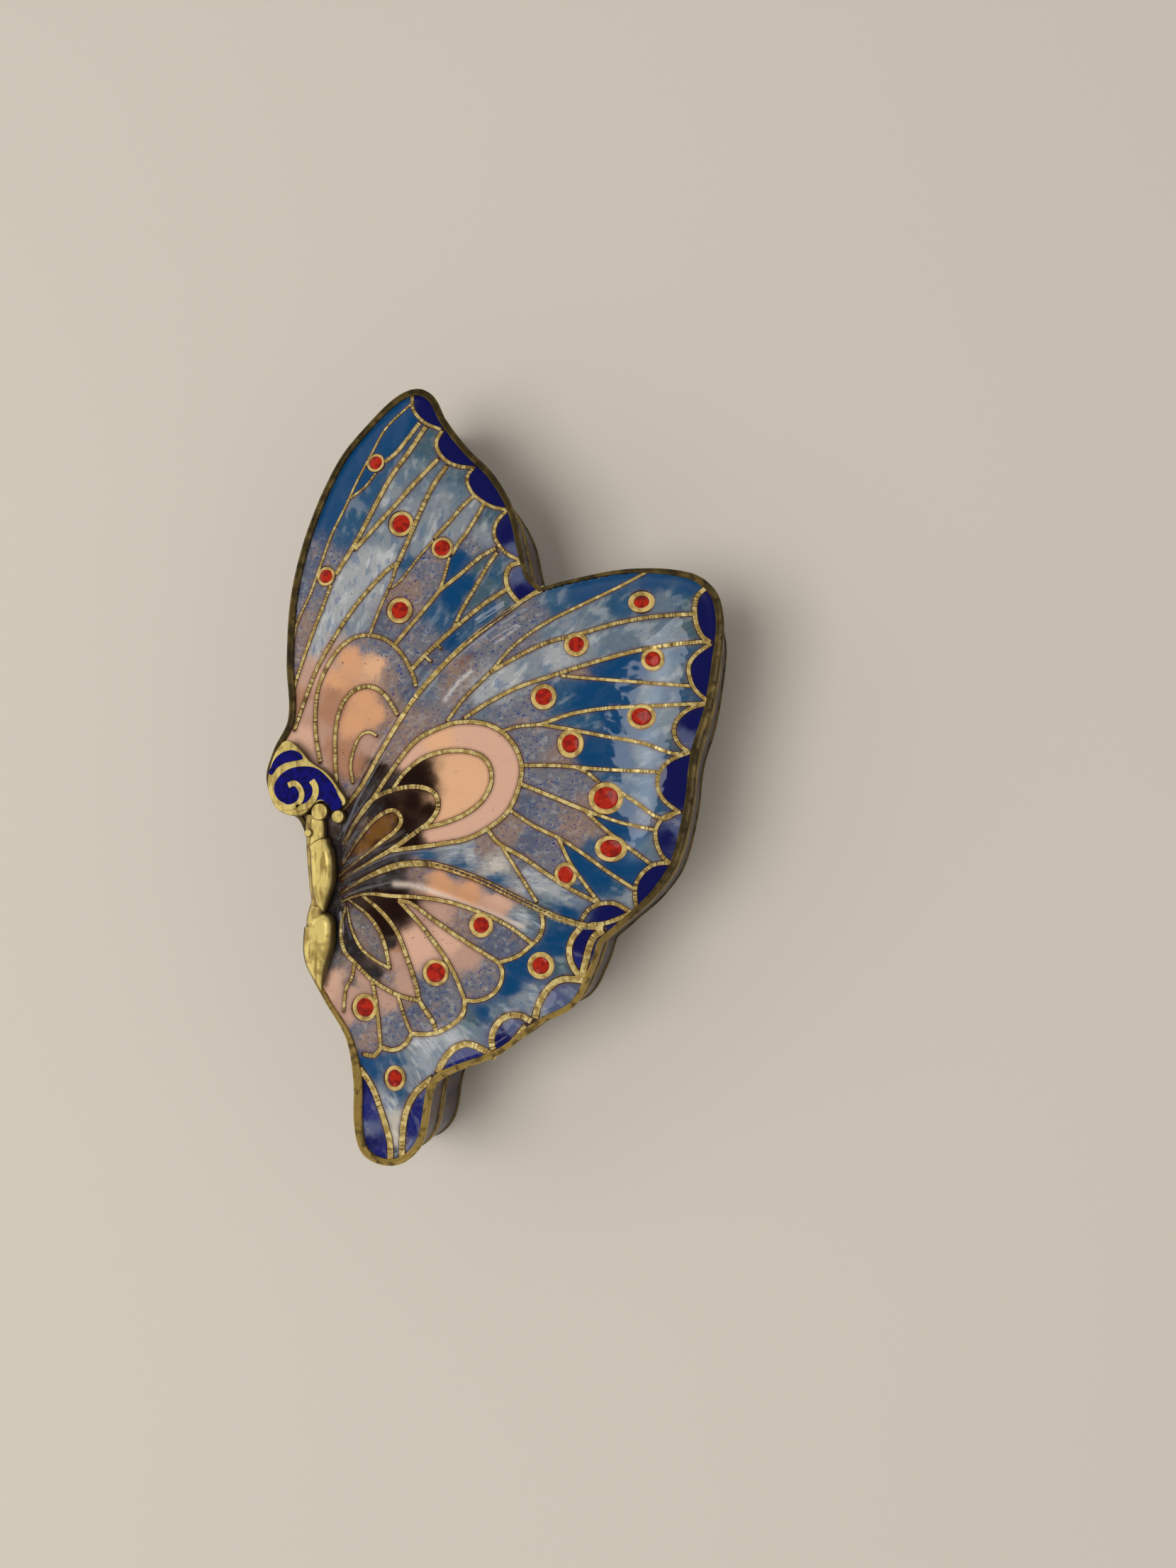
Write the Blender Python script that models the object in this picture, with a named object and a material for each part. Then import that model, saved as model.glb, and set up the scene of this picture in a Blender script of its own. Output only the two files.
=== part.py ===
"""Butterfly trinket box: an enamelled copper base and lift-off lid with brass rims, head and body.

Metres, +Z up. The tail points along -Y, the forewing along +X, and the underside stands on Z = 0.
The outline is a free form, kept as shares of the overall length. Every wall, rim and clearance is a size
of its own.
"""

import math

import bmesh
import bpy
import numpy as np
from mathutils import Vector, geometry

# Overall sizes
LENGTH = 0.100
BASE_HEIGHT = 0.0074
LID_WALL_HEIGHT = 0.0054

# Sheet metal, with its enamel on both sides
WALL = 0.0011
FLOOR = 0.0012
TOP_SHEET = 0.0011
INNER_CORNER_FILLET = 0.0006
CORNER_REACH = 0.0010

# Brass rims where the lid meets the base
RIM_HEIGHT = 0.0007
LIP_THICKNESS = 0.0007
LIP_HEIGHT = 0.0020
WALL_SETBACK = 0.0006

# Brass wire round the top edge
EDGE_WIRE = 0.0010
EDGE_DROP = 0.0004

# Relief of the top
DOME_RISE = 0.0014
DOME_REACH = 0.0070
FOREWING_STEP = 0.0008
STEP_REACH = 0.0025
STEP_START = 0.010
STEP_BLEND = 0.0015
FOREWING_SETBACK = 0.0003
RELIEF_SPACING = 0.0034
HEAD_SPACING = 0.0024

# Pieces on the lid
HEAD_THICKNESS = 0.0008
BODY_FLATTENING = 0.8

# Gap between pieces that touch, and the depth by which cutters pass a face
CLEARANCE = 0.0003
OVERSHOOT = 0.002

# Spacing of the points on a curve, in hundredths of the length
POINT_SPACING = 2.6

# A point moved in from the outline that ends nearer to it than the move, by more than this, is left out
FOLD_TOLERANCE = 1e-6

# The outline, clockwise from the left of the upper wing, in hundredths of the length
UPPER_WING = [(-27.4, 13.9), (-27.0, 23.0), (-24.8, 32.0), (-20.8, 40.8), (-16.8, 45.6),
              (-12.9, 49.1), (-10.0, 50.0), (-7.8, 48.8), (-6.1, 45.5), (-3.0, 41.4), (0.3, 37.9),
              (2.9, 33.3), (4.2, 27.9), (5.1, 24.2)]
FORE_NOTCH = (6.6, 22.6)
FOREWING = [(10.1, 23.4), (18.0, 24.5), (25.6, 23.7), (28.8, 21.3), (29.8, 17.6), (29.4, 12.6),
            (28.3, 6.3), (26.6, 0.7), (25.8, -5.5), (23.9, -12.6), (21.1, -16.7), (17.4, -20.0)]
HIND_NOTCH = (14.6, -22.4)
HINDWING = [(13.4, -25.9), (11.0, -30.1), (7.0, -32.3), (1.5, -36.2), (-4.8, -38.8)]
TAIL = [(-6.5, -40.2), (-7.9, -46.8), (-10.1, -49.4), (-13.0, -50.0), (-15.9, -48.6), (-17.0, -45.1),
        (-17.2, -39.8), (-18.3, -34.5)]
ROOT = [(-21.2, -29.9), (-23.6, -25.5), (-24.0, -21.2), (-23.2, -16.4), (-23.8, -10.8)]
HEAD = [(-25.2, -6.8), (-28.1, -5.3), (-29.8, -1.4), (-28.9, 2.4), (-27.0, 6.5)]

# Edges of the forewing where it lies over the other two wings, from the notches to the root
LEADING_EDGE = [(4.0, 20.6), (0.5, 18.2), (-3.4, 15.3), (-6.7, 12.1), (-9.4, 9.0), (-11.9, 5.4),
                (-14.2, 1.6), (-16.7, -2.7), (-18.0, -5.5)]
TRAILING_EDGE = [(-17.6, -14.6), (-14.7, -13.8), (-11.2, -12.6), (-7.6, -12.6), (-3.4, -13.7),
                 (1.3, -15.8), (6.5, -18.1), (10.6, -19.8)]

# The head plate, and the body pieces as (x, y, radius) from head to tail, in the same hundredths
HEAD_PLATE = [(-26.6, 3.6), (-25.4, 2.6), (-23.8, 0.9), (-21.4, -0.7), (-19.7, -2.9), (-18.8, -4.5),
              (-21.2, -4.2), (-23.3, -4.2), (-26.6, -4.3), (-27.9, -3.2), (-28.3, -1.3), (-27.7, 1.3)]
NECK = [(-22.2, -7.2, 0.55), (-22.2, -7.6, 0.75), (-22.1, -9.1, 0.75), (-22.1, -9.5, 0.55)]
THORAX = [(-21.7, -10.1, 0.5), (-21.7, -11.3, 1.3), (-21.6, -13.1, 1.55), (-21.4, -14.9, 1.4),
          (-21.4, -16.8, 0.9), (-21.4, -18.3, 0.3)]
ABDOMEN = [(-22.3, -19.0, 0.8), (-22.1, -20.4, 1.5), (-21.9, -22.5, 1.75), (-22.0, -24.5, 1.6),
           (-21.9, -26.3, 0.9), (-21.7, -27.4, 0.3)]
BEADS = {"bead_upper": (-22.3, -5.8, 1.0), "bead_right": (-19.8, -6.4, 0.8), "bead_left": (-23.8, -8.5, 0.45)}

# Levels that follow from the sizes above
BASE_RIM_BOTTOM = BASE_HEIGHT + CLEARANCE
BASE_RIM_TOP = BASE_RIM_BOTTOM + RIM_HEIGHT
LID_RIM_BOTTOM = BASE_RIM_TOP + CLEARANCE
LID_RIM_TOP = LID_RIM_BOTTOM + RIM_HEIGHT
LID_BOTTOM = LID_RIM_TOP + CLEARANCE
LEDGE = LID_BOTTOM + LID_WALL_HEIGHT
WIRE_TOP = LEDGE + CLEARANCE + EDGE_WIRE
EDGE_LEVEL = WIRE_TOP - EDGE_DROP
BODY_SEAT = WIRE_TOP + CLEARANCE

# Distances in from the outline that follow from the sizes above
INNER_WALL = WALL_SETBACK + WALL
LIP_OUTSIDE = INNER_WALL + CLEARANCE
LIP_INSIDE = LIP_OUTSIDE + LIP_THICKNESS
TOP_SETBACK = EDGE_WIRE + CLEARANCE


def smooth_path(anchors, corners, closed):
    """(points, starts): a Bezier curve through the anchors, straight into and out of each corner, and the
    number of the point at each anchor."""
    knots = [Vector((x, y, 0)) for x, y in anchors]
    count = len(knots)
    tangents = []
    for index, knot in enumerate(knots):
        before = knots[index - 1] if closed or index else knot
        after = knots[(index + 1) % count] if closed or index < count - 1 else knot
        tangents.append((after - before).normalized())
    points = []
    starts = []
    for index in range(count if closed else count - 1):
        following = (index + 1) % count
        start, end = knots[index], knots[following]
        reach = (end - start).length / 3
        leave = (end - start).normalized() if index in corners else tangents[index]
        arrive = (end - start).normalized() if following in corners else tangents[following]
        handles = start + leave * reach, end - arrive * reach
        steps = max(2, round((end - start).length / POINT_SPACING))
        starts.append(len(points))
        points += geometry.interpolate_bezier(start, *handles, end, steps + 1)[:-1]
    if not closed:
        points.append(knots[-1])
    return np.array([(point.x, point.y) for point in points]), starts


def shape_of_box():
    """(outline, middle, share, notches): the outline in metres about its middle, the middle in hundredths,
    the metres in one hundredth, and the numbers of the outline's points at the two notches."""
    anchors = UPPER_WING + [FORE_NOTCH] + FOREWING + [HIND_NOTCH] + HINDWING + TAIL + ROOT + HEAD
    corners = [anchors.index(FORE_NOTCH), anchors.index(HIND_NOTCH)]
    path, starts = smooth_path(anchors, corners, True)
    low, high = path.min(axis=0), path.max(axis=0)
    share = LENGTH / (high[1] - low[1])
    middle = (low + high) / 2
    return (path - middle) * share, middle, share, [starts[corner] for corner in corners]


OUTLINE, MIDDLE, SHARE, NOTCHES = shape_of_box()


def placed(points):
    """Points in hundredths of the length, in metres about the middle."""
    return (np.array(points, float) - MIDDLE) * SHARE


def placed_curve(anchors, closed):
    return placed(smooth_path(anchors, [], closed)[0])


def inset(loop, distance):
    """The loop, clockwise, moved in by the distance, with mitred corners."""
    ahead = np.roll(loop, -1, axis=0) - loop
    ahead /= np.linalg.norm(ahead, axis=1)[:, None]
    inward = np.column_stack([ahead[:, 1], -ahead[:, 0]])
    behind = np.roll(inward, 1, axis=0)
    mitre = (inward + behind) / (1 + (inward * behind).sum(axis=1))[:, None]
    return loop + mitre * distance


def depth_inside(points, loop):
    """Each point's distance from the loop's sides."""
    start = loop[None, :, :]
    side = np.roll(loop, -1, axis=0)[None, :, :] - start
    offset = points[:, None, :] - start
    along = np.clip((offset * side).sum(axis=2) / (side * side).sum(axis=2), 0, 1)
    return np.linalg.norm(offset - along[:, :, None] * side, axis=2).min(axis=1)


def inset_loop(loop, distance):
    """The loop, clockwise, moved in by the distance, without the points that a tight bend folds over."""
    moved = inset(loop, distance)
    return moved[depth_inside(moved, loop) > distance - FOLD_TOLERANCE]


def is_inside(points, loop):
    """Whether each point lies inside the loop, by counting crossings to the right."""
    x, y = points[:, 0][:, None], points[:, 1][:, None]
    ends = np.roll(loop, -1, axis=0)
    crosses = (loop[:, 1] > y) != (ends[:, 1] > y)
    rise = ends[:, 1] - loop[:, 1]
    meet = loop[:, 0] + (y - loop[:, 1]) * (ends[:, 0] - loop[:, 0]) / np.where(rise == 0, 1, rise)
    return (crosses & (x < meet)).sum(axis=1) % 2 == 1


def signed_depth(points, loop):
    return np.where(is_inside(points, loop), 1, -1) * depth_inside(points, loop)


def forewing_loop(distance):
    """The forewing's edge: its share of the outline moved in by the distance, and its two inner edges."""
    outer = inset(OUTLINE, distance)[NOTCHES[0] + 1:NOTCHES[1]]
    trailing = placed_curve(TRAILING_EDGE[::-1], False)
    leading = placed_curve(LEADING_EDGE[::-1], False)
    return np.vstack([outer, trailing, leading])


FOREWING_EDGE = forewing_loop(TOP_SETBACK + FOREWING_SETBACK)


def dome(points):
    """Height of the lid's top without the forewing's step."""
    depth = np.maximum(signed_depth(points, OUTLINE) - TOP_SETBACK, 0)
    return EDGE_LEVEL + DOME_RISE * (1 - np.exp(-depth / DOME_REACH))


def forewing_rise(points):
    """How far the forewing stands above the dome: nothing at the root and at the outer edge."""
    from_edge = np.maximum(signed_depth(points, OUTLINE), 0)
    root = placed([LEADING_EDGE[-1]])[0, 0]
    from_root = np.clip((points[:, 0] - root) / STEP_START, 0, 1)
    return FOREWING_STEP * (1 - np.exp(-from_edge / STEP_REACH)) * from_root


def forewing_top(points):
    return dome(points) + forewing_rise(points)


def lid_underside(points):
    """The hollow's ceiling: the top's form, less the sheet, with a fillet at the wall."""
    over_forewing = np.clip(signed_depth(points, FOREWING_EDGE) / STEP_BLEND, 0, 1)
    depth = np.maximum(signed_depth(points, OUTLINE) - INNER_WALL, 0)
    fillet = INNER_CORNER_FILLET * np.exp(-depth / CORNER_REACH)
    return dome(points) + forewing_rise(points) * over_forewing - TOP_SHEET - fillet


def clear_scene():
    for thing in list(bpy.data.objects):
        bpy.data.objects.remove(thing, do_unlink=True)


def new_collection(name):
    collection = bpy.data.collections.new(name)
    bpy.context.scene.collection.children.link(collection)
    return collection


def new_material(name, colour, roughness, metallic):
    material = bpy.data.materials.new(name)
    material.use_nodes = True
    shader = material.node_tree.nodes["Principled BSDF"]
    shader.inputs["Base Color"].default_value = (*colour, 1)
    shader.inputs["Roughness"].default_value = roughness
    shader.inputs["Metallic"].default_value = metallic
    return material


def mesh_object(name, mesh, collection):
    piece = bpy.data.objects.new(name, mesh)
    collection.objects.link(piece)
    return piece


def cutter_of(piece):
    piece.hide_render = True
    piece.display_type = "WIRE"
    return piece


def mesh_from_curve(name, curve, height, collection):
    """The curve as a closed mesh at that height, with its caps welded."""
    guide = bpy.data.objects.new(name + " curve", curve)
    guide.location.z = height
    collection.objects.link(guide)
    graph = bpy.context.evaluated_depsgraph_get()
    mesh = bpy.data.meshes.new_from_object(guide.evaluated_get(graph))
    bpy.context.view_layer.update()
    mesh.transform(guide.matrix_world)
    bpy.data.objects.remove(guide, do_unlink=True)
    form = bmesh.new()
    form.from_mesh(mesh)
    bmesh.ops.remove_doubles(form, verts=form.verts, dist=1e-6)
    bmesh.ops.recalc_face_normals(form, faces=form.faces)
    form.to_mesh(mesh)
    form.free()
    return mesh_object(name, mesh, collection)


def flat_solid(name, loops, bottom, top, collection):
    """A flat outline between two levels. A second loop is a hole."""
    curve = bpy.data.curves.new(name, "CURVE")
    curve.dimensions = "2D"
    curve.fill_mode = "BOTH"
    curve.extrude = (top - bottom) / 2
    for loop in loops:
        spline = curve.splines.new("POLY")
        spline.points.add(len(loop) - 1)
        for point, (x, y) in zip(spline.points, loop):
            point.co = (x, y, 0, 1)
        spline.use_cyclic_u = True
    return mesh_from_curve(name, curve, (top + bottom) / 2, collection)


def round_wire(name, points, radii, height, closed, sides, collection):
    """A round bar through the points, with filled caps where it is open."""
    curve = bpy.data.curves.new(name, "CURVE")
    curve.dimensions = "3D"
    curve.bevel_depth = 1.0
    curve.bevel_resolution = sides
    curve.use_fill_caps = not closed
    curve.twist_mode = "Z_UP"
    spline = curve.splines.new("POLY")
    spline.points.add(len(points) - 1)
    for point, (x, y), radius in zip(spline.points, points, radii):
        point.co = (x, y, 0, 1)
        point.radius = radius
    spline.use_cyclic_u = closed
    return mesh_from_curve(name, curve, height, collection)


def relief_block(name, loop, top, bottom, spacing, collection):
    """A block over the loop's bounds whose top and bottom follow two height functions."""
    low, high = loop.min(axis=0) - OVERSHOOT, loop.max(axis=0) + OVERSHOOT
    across, along = (max(2, round(size / spacing)) for size in high - low)
    form = bmesh.new()
    bmesh.ops.create_grid(form, x_segments=across, y_segments=along, size=0.5)
    lower = list(form.verts)
    for corner in lower:
        corner.co.x = low[0] + (corner.co.x + 0.5) * (high[0] - low[0])
        corner.co.y = low[1] + (corner.co.y + 0.5) * (high[1] - low[1])
    made = bmesh.ops.extrude_face_region(form, geom=list(form.faces))["geom"]
    upper = [item for item in made if isinstance(item, bmesh.types.BMVert)]
    for corners, height in ((lower, bottom), (upper, top)):
        levels = height(np.array([(corner.co.x, corner.co.y) for corner in corners]))
        for corner, level in zip(corners, levels):
            corner.co.z = level
    bmesh.ops.recalc_face_normals(form, faces=form.faces)
    mesh = bpy.data.meshes.new(name)
    form.to_mesh(mesh)
    form.free()
    return mesh_object(name, mesh, collection)


def combine(piece, other, operation):
    modifier = piece.modifiers.new(operation.title() + " " + other.name, "BOOLEAN")
    modifier.operation = operation
    modifier.solver = "EXACT"
    modifier.object = other


def flat_level(height):
    return lambda points: np.full(len(points), height)


def build_base(parts, cutters):
    shell = flat_solid("base_shell", [inset_loop(OUTLINE, WALL_SETBACK)], 0, BASE_HEIGHT, parts)
    hollow_top = BASE_HEIGHT + OVERSHOOT
    hollow = flat_solid("base hollow", [inset_loop(OUTLINE, INNER_WALL)], FLOOR, hollow_top, cutters)
    combine(shell, cutter_of(hollow), "DIFFERENCE")
    rim = flat_solid("base_rim", [inset_loop(OUTLINE, WALL_SETBACK)], BASE_RIM_BOTTOM, BASE_RIM_TOP, parts)
    lip_bottom, lip_top = (BASE_RIM_BOTTOM + BASE_RIM_TOP) / 2, BASE_RIM_TOP + LIP_HEIGHT
    lip = flat_solid("rim lip", [inset_loop(OUTLINE, LIP_OUTSIDE)], lip_bottom, lip_top, cutters)
    bore_levels = BASE_RIM_BOTTOM - OVERSHOOT, lip_top + OVERSHOOT
    bore = flat_solid("rim opening", [inset_loop(OUTLINE, LIP_INSIDE)], *bore_levels, cutters)
    combine(rim, cutter_of(lip), "UNION")
    combine(rim, cutter_of(bore), "DIFFERENCE")
    return shell, rim


def build_lid(parts, cutters):
    wall_loops = [inset_loop(OUTLINE, WALL_SETBACK), inset_loop(OUTLINE, INNER_WALL)]
    rim = flat_solid("lid_rim", wall_loops, LID_RIM_BOTTOM, LID_RIM_TOP, parts)
    shell = flat_solid("lid_shell", wall_loops[:1], LID_BOTTOM, LEDGE, parts)
    inside_wall = (LID_BOTTOM + LEDGE) / 2
    sky = EDGE_LEVEL + DOME_RISE + FOREWING_STEP + OVERSHOOT

    plate_loop = inset_loop(OUTLINE, TOP_SETBACK)
    plate = relief_block("top plate", plate_loop, dome, flat_level(inside_wall), RELIEF_SPACING, cutters)
    plate_edge = flat_solid("top plate edge", [plate_loop], inside_wall - OVERSHOOT, sky, cutters)
    combine(plate, cutter_of(plate_edge), "INTERSECT")

    wing_bottom = inside_wall + CLEARANCE
    wing = relief_block("forewing", FOREWING_EDGE, forewing_top, flat_level(wing_bottom),
                        RELIEF_SPACING, cutters)
    wing_edge = flat_solid("forewing edge", [FOREWING_EDGE], inside_wall - OVERSHOOT, sky, cutters)
    combine(wing, cutter_of(wing_edge), "INTERSECT")

    hollow_loop = wall_loops[1]
    below = LID_BOTTOM - OVERSHOOT
    hollow = relief_block("lid hollow", hollow_loop, lid_underside, flat_level(below),
                          RELIEF_SPACING, cutters)
    hollow_edge = flat_solid("lid hollow edge", [hollow_loop], below - OVERSHOOT, sky, cutters)
    combine(hollow, cutter_of(hollow_edge), "INTERSECT")

    combine(shell, cutter_of(plate), "UNION")
    combine(shell, cutter_of(wing), "UNION")
    combine(shell, cutter_of(hollow), "DIFFERENCE")

    wire_path = inset_loop(OUTLINE, EDGE_WIRE / 2)
    radii = [EDGE_WIRE / 2] * len(wire_path)
    wire = round_wire("lid_edge_wire", wire_path, radii, WIRE_TOP - EDGE_WIRE / 2, True, 1, parts)
    return rim, shell, wire


def build_head(parts, cutters):
    loop = placed_curve(HEAD_PLATE, True)

    def under(points):
        return dome(points) + CLEARANCE

    def over(points):
        return dome(points) + CLEARANCE + HEAD_THICKNESS

    plate = relief_block("head_plate", loop, over, under, HEAD_SPACING, parts)
    edge = flat_solid("head plate edge", [loop], LEDGE, BODY_SEAT + OVERSHOOT, cutters)
    combine(plate, cutter_of(edge), "INTERSECT")
    return plate


def build_spindle(name, stations, parts):
    """A tapering bar that lies on the lid, a little flatter than it is wide."""
    across = placed([station[:2] for station in stations])
    radii = [station[2] * SHARE for station in stations]
    spindle = round_wire(name, across, radii, 0, False, 2, parts)
    for corner in spindle.data.vertices:
        corner.co.z = BODY_SEAT + (corner.co.z + max(radii)) * BODY_FLATTENING
    return spindle


def build_bead(name, x, y, radius, parts):
    size = radius * SHARE
    form = bmesh.new()
    bmesh.ops.create_uvsphere(form, u_segments=10, v_segments=6, radius=size)
    mesh = bpy.data.meshes.new(name)
    form.to_mesh(mesh)
    form.free()
    bead = mesh_object(name, mesh, parts)
    bead.location = (*placed([(x, y)])[0], BODY_SEAT + size)
    return bead


def main():
    clear_scene()
    parts = new_collection("brass_trinket_box")
    cutters = new_collection("cutters")
    wall_enamel = new_material("wall enamel", (0.16, 0.22, 0.32), 0.2, 0.0)
    top_enamel = new_material("top enamel", (0.08, 0.22, 0.38), 0.12, 0.0)
    brass = new_material("brass", (0.55, 0.41, 0.16), 0.3, 1.0)

    base_shell, base_rim = build_base(parts, cutters)
    lid_rim, lid_shell, lid_edge_wire = build_lid(parts, cutters)
    head_plate = build_head(parts, cutters)
    body = [build_spindle("neck", NECK, parts), build_spindle("thorax", THORAX, parts),
            build_spindle("abdomen", ABDOMEN, parts)]
    body += [build_bead(name, *place, parts) for name, place in BEADS.items()]

    finishes = {wall_enamel: [base_shell], top_enamel: [lid_shell, head_plate],
                brass: [base_rim, lid_rim, lid_edge_wire, *body]}
    for material, pieces in finishes.items():
        for piece in pieces:
            piece.data.materials.append(material)
    for piece in [lid_edge_wire, *body]:
        piece.data.shade_smooth()
        piece.data.set_sharp_from_angle(angle=math.radians(50))


main()
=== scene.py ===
import math

import bpy
import numpy as np
from mathutils import Matrix, Vector, kdtree, noise


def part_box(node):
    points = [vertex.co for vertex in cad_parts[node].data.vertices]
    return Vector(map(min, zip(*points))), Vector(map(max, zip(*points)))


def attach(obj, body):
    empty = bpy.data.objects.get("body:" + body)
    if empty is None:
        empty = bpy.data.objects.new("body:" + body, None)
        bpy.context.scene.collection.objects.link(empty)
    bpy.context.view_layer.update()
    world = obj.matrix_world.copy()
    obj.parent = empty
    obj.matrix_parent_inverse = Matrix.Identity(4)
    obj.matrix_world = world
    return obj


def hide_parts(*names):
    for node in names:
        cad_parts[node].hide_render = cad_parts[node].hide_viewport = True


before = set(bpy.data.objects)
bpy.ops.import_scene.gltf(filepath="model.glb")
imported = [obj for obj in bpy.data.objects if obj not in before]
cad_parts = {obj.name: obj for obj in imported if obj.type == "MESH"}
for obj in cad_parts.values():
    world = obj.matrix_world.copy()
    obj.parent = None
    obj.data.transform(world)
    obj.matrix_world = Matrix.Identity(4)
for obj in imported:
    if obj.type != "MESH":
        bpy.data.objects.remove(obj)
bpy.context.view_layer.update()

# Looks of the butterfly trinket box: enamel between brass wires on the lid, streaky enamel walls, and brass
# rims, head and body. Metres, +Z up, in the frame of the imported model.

bl_info = {
    "name": "Butterfly Trinket Box",
    "version": (1, 0, 0),
    "blender": (4, 5, 0),
    "location": "3D View > Sidebar > Trinket Box",
    "description": "Builds the enamel, wires, rims, head and body of a butterfly trinket box",
    "category": "Object",
}

MM = 0.001

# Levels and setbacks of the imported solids, metres
BASE_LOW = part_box("base_shell")[0].z
BASE_RIM_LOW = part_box("base_rim")[0].z
LID_RIM_LOW, LID_RIM_HIGH = (corner.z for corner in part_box("lid_rim"))
WIRE_LOW, WIRE_HIGH = (corner.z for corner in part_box("lid_edge_wire"))
BASE_RIM_HIGH = BASE_RIM_LOW + 0.7 * MM
LIP_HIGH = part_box("base_rim")[1].z
HEAD_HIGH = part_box("head_plate")[1].z
BODY_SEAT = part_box("thorax")[0].z
WALL_SETBACK = 0.6 * MM
WALL = 1.1 * MM
FLOOR = 1.2 * MM
LIP_SETBACK = 2.0 * MM
LIP = 0.7 * MM
TOP_SETBACK = 1.3 * MM
EDGE_LEVEL = WIRE_HIGH - 0.4 * MM

# Finer sizes of the rims, sheets and rings, metres
RIM_OVERHANG = 0.15 * MM
RIM_BEVEL = 0.12 * MM
LIP_OVERLAP = 0.1 * MM
FOOT_OVERHANG = 0.2 * MM
FOOT_HEIGHT = 0.55 * MM
FOOT_WIDTH = 0.5 * MM
FOOT_BEVEL = 0.14 * MM
WALL_OVERLAP = 0.2 * MM
WALL_BEVEL = 0.1 * MM
WIRE_SETBACK = 0.02 * MM
WIRE_BEVEL = 0.26 * MM
SHEET = 0.5 * MM
SHEET_UNDER_WIRE = 0.8 * MM
LINING_GRAIN = 0.8 * MM
LINING_DROP = 0.65 * MM
RING_OVERLAP = 0.06 * MM
RING_SINK = 0.08 * MM

RING_FLATNESS = 0.4
RING_PLACES = 60
WIRE_APART = 0.01

# Relief of the top, metres
DOME_RISE = 1.4 * MM
DOME_REACH = 7.0 * MM
FOREWING_STEP = 0.8 * MM
STEP_REACH = 2.5 * MM
STEP_START = 10.0 * MM
STEP_WIDTH = 0.30 * MM
MIDDLE_LEVEL = EDGE_LEVEL + DOME_RISE / 2

# How far a ridge or streak reaches, as a multiple of its width
RIDGE_REACH = 4

# How far past the two notches the forewing's free side is drawn, clear of the outline
PAST_HIND_NOTCH = (30 * MM, 0)
PAST_FORE_NOTCH = (40 * MM, 8 * MM)

# How the enamel sheets meet at the forewing's raised edge, in metres inside that edge: how far the lower
# sheets and the forewing's run past it, and how each dives under the other, as (depth, start, reach)
LOWER_OVERLAP = 0.25 * MM
LOWER_DIVE = (0.5 * MM, -0.22 * MM, 0.15 * MM)
FOREWING_OVERLAP = 0.50 * MM
FOREWING_DIVE = (0.12 * MM, -0.16 * MM, -0.12 * MM)
SPLIT_OVERLAP = 0.2 * MM

# The photograph: its focal length and middle in pixels, and the camera's place over the box in millimetres
FOCAL_PIXELS = 1662.0
PICTURE = (1659, 2212)
MIDDLE_PIXEL = (829.5, 1106.0)
CAMERA_PLACE = (36.1, -16.2, 160.4)
CAMERA_UP = (-0.160, 0.091, 0.983)
LENGTH = 100 * MM

# The size of one of the photograph's pixels on the lid
PIXEL = 0.0865 * MM

# The outline, clockwise from the left of the upper wing, in hundredths of the length, with the edge wire's
# width there in millimetres
OUTLINE = [
    (-27.4, 13.9, 0.95), (-27.0, 23.0, 0.95), (-24.8, 32.0, 0.9), (-20.8, 40.8, 0.85), (-16.8, 45.6, 0.8),
    (-12.9, 49.1, 0.85), (-10.0, 50.0, 0.9), (-7.8, 48.8, 0.95), (-6.1, 45.5, 0.9), (-3.0, 41.4, 0.9),
    (0.3, 37.9, 0.9), (2.9, 33.3, 0.85), (4.2, 27.9, 0.75), (5.1, 24.2, 0.6), (6.6, 22.6, 0.6),
    (10.1, 23.4, 0.5), (18.0, 24.5, 0.6), (25.6, 23.7, 0.9), (28.8, 21.3, 1.0), (29.8, 17.6, 1.05),
    (29.4, 12.6, 1.15), (28.3, 6.3, 1.15), (26.6, 0.7, 1.15), (25.8, -5.5, 1.15), (23.9, -12.6, 1.0),
    (21.1, -16.7, 0.9), (17.4, -20.0, 0.8), (14.6, -22.4, 0.75), (13.4, -25.9, 0.75), (11.0, -30.1, 0.75),
    (7.0, -32.3, 0.75), (1.5, -36.2, 0.75), (-4.8, -38.8, 0.9), (-6.5, -40.2, 0.95), (-7.9, -46.8, 0.9),
    (-10.1, -49.4, 0.85), (-13.0, -50.0, 0.85), (-15.9, -48.6, 0.95), (-17.0, -45.1, 1.1),
    (-17.2, -39.8, 1.15), (-18.3, -34.5, 0.8), (-21.2, -29.9, 0.6), (-23.6, -25.5, 0.6),
    (-24.0, -21.2, 0.6), (-23.2, -16.4, 0.6), (-23.8, -10.8, 0.6), (-25.2, -6.8, 0.7), (-28.1, -5.3, 0.7),
    (-29.8, -1.4, 0.7), (-28.9, 2.4, 0.8), (-27.0, 6.5, 0.9)]
FORE_NOTCH = 14
HIND_NOTCH = 27
OUTLINE_SPACING = 0.5

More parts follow.
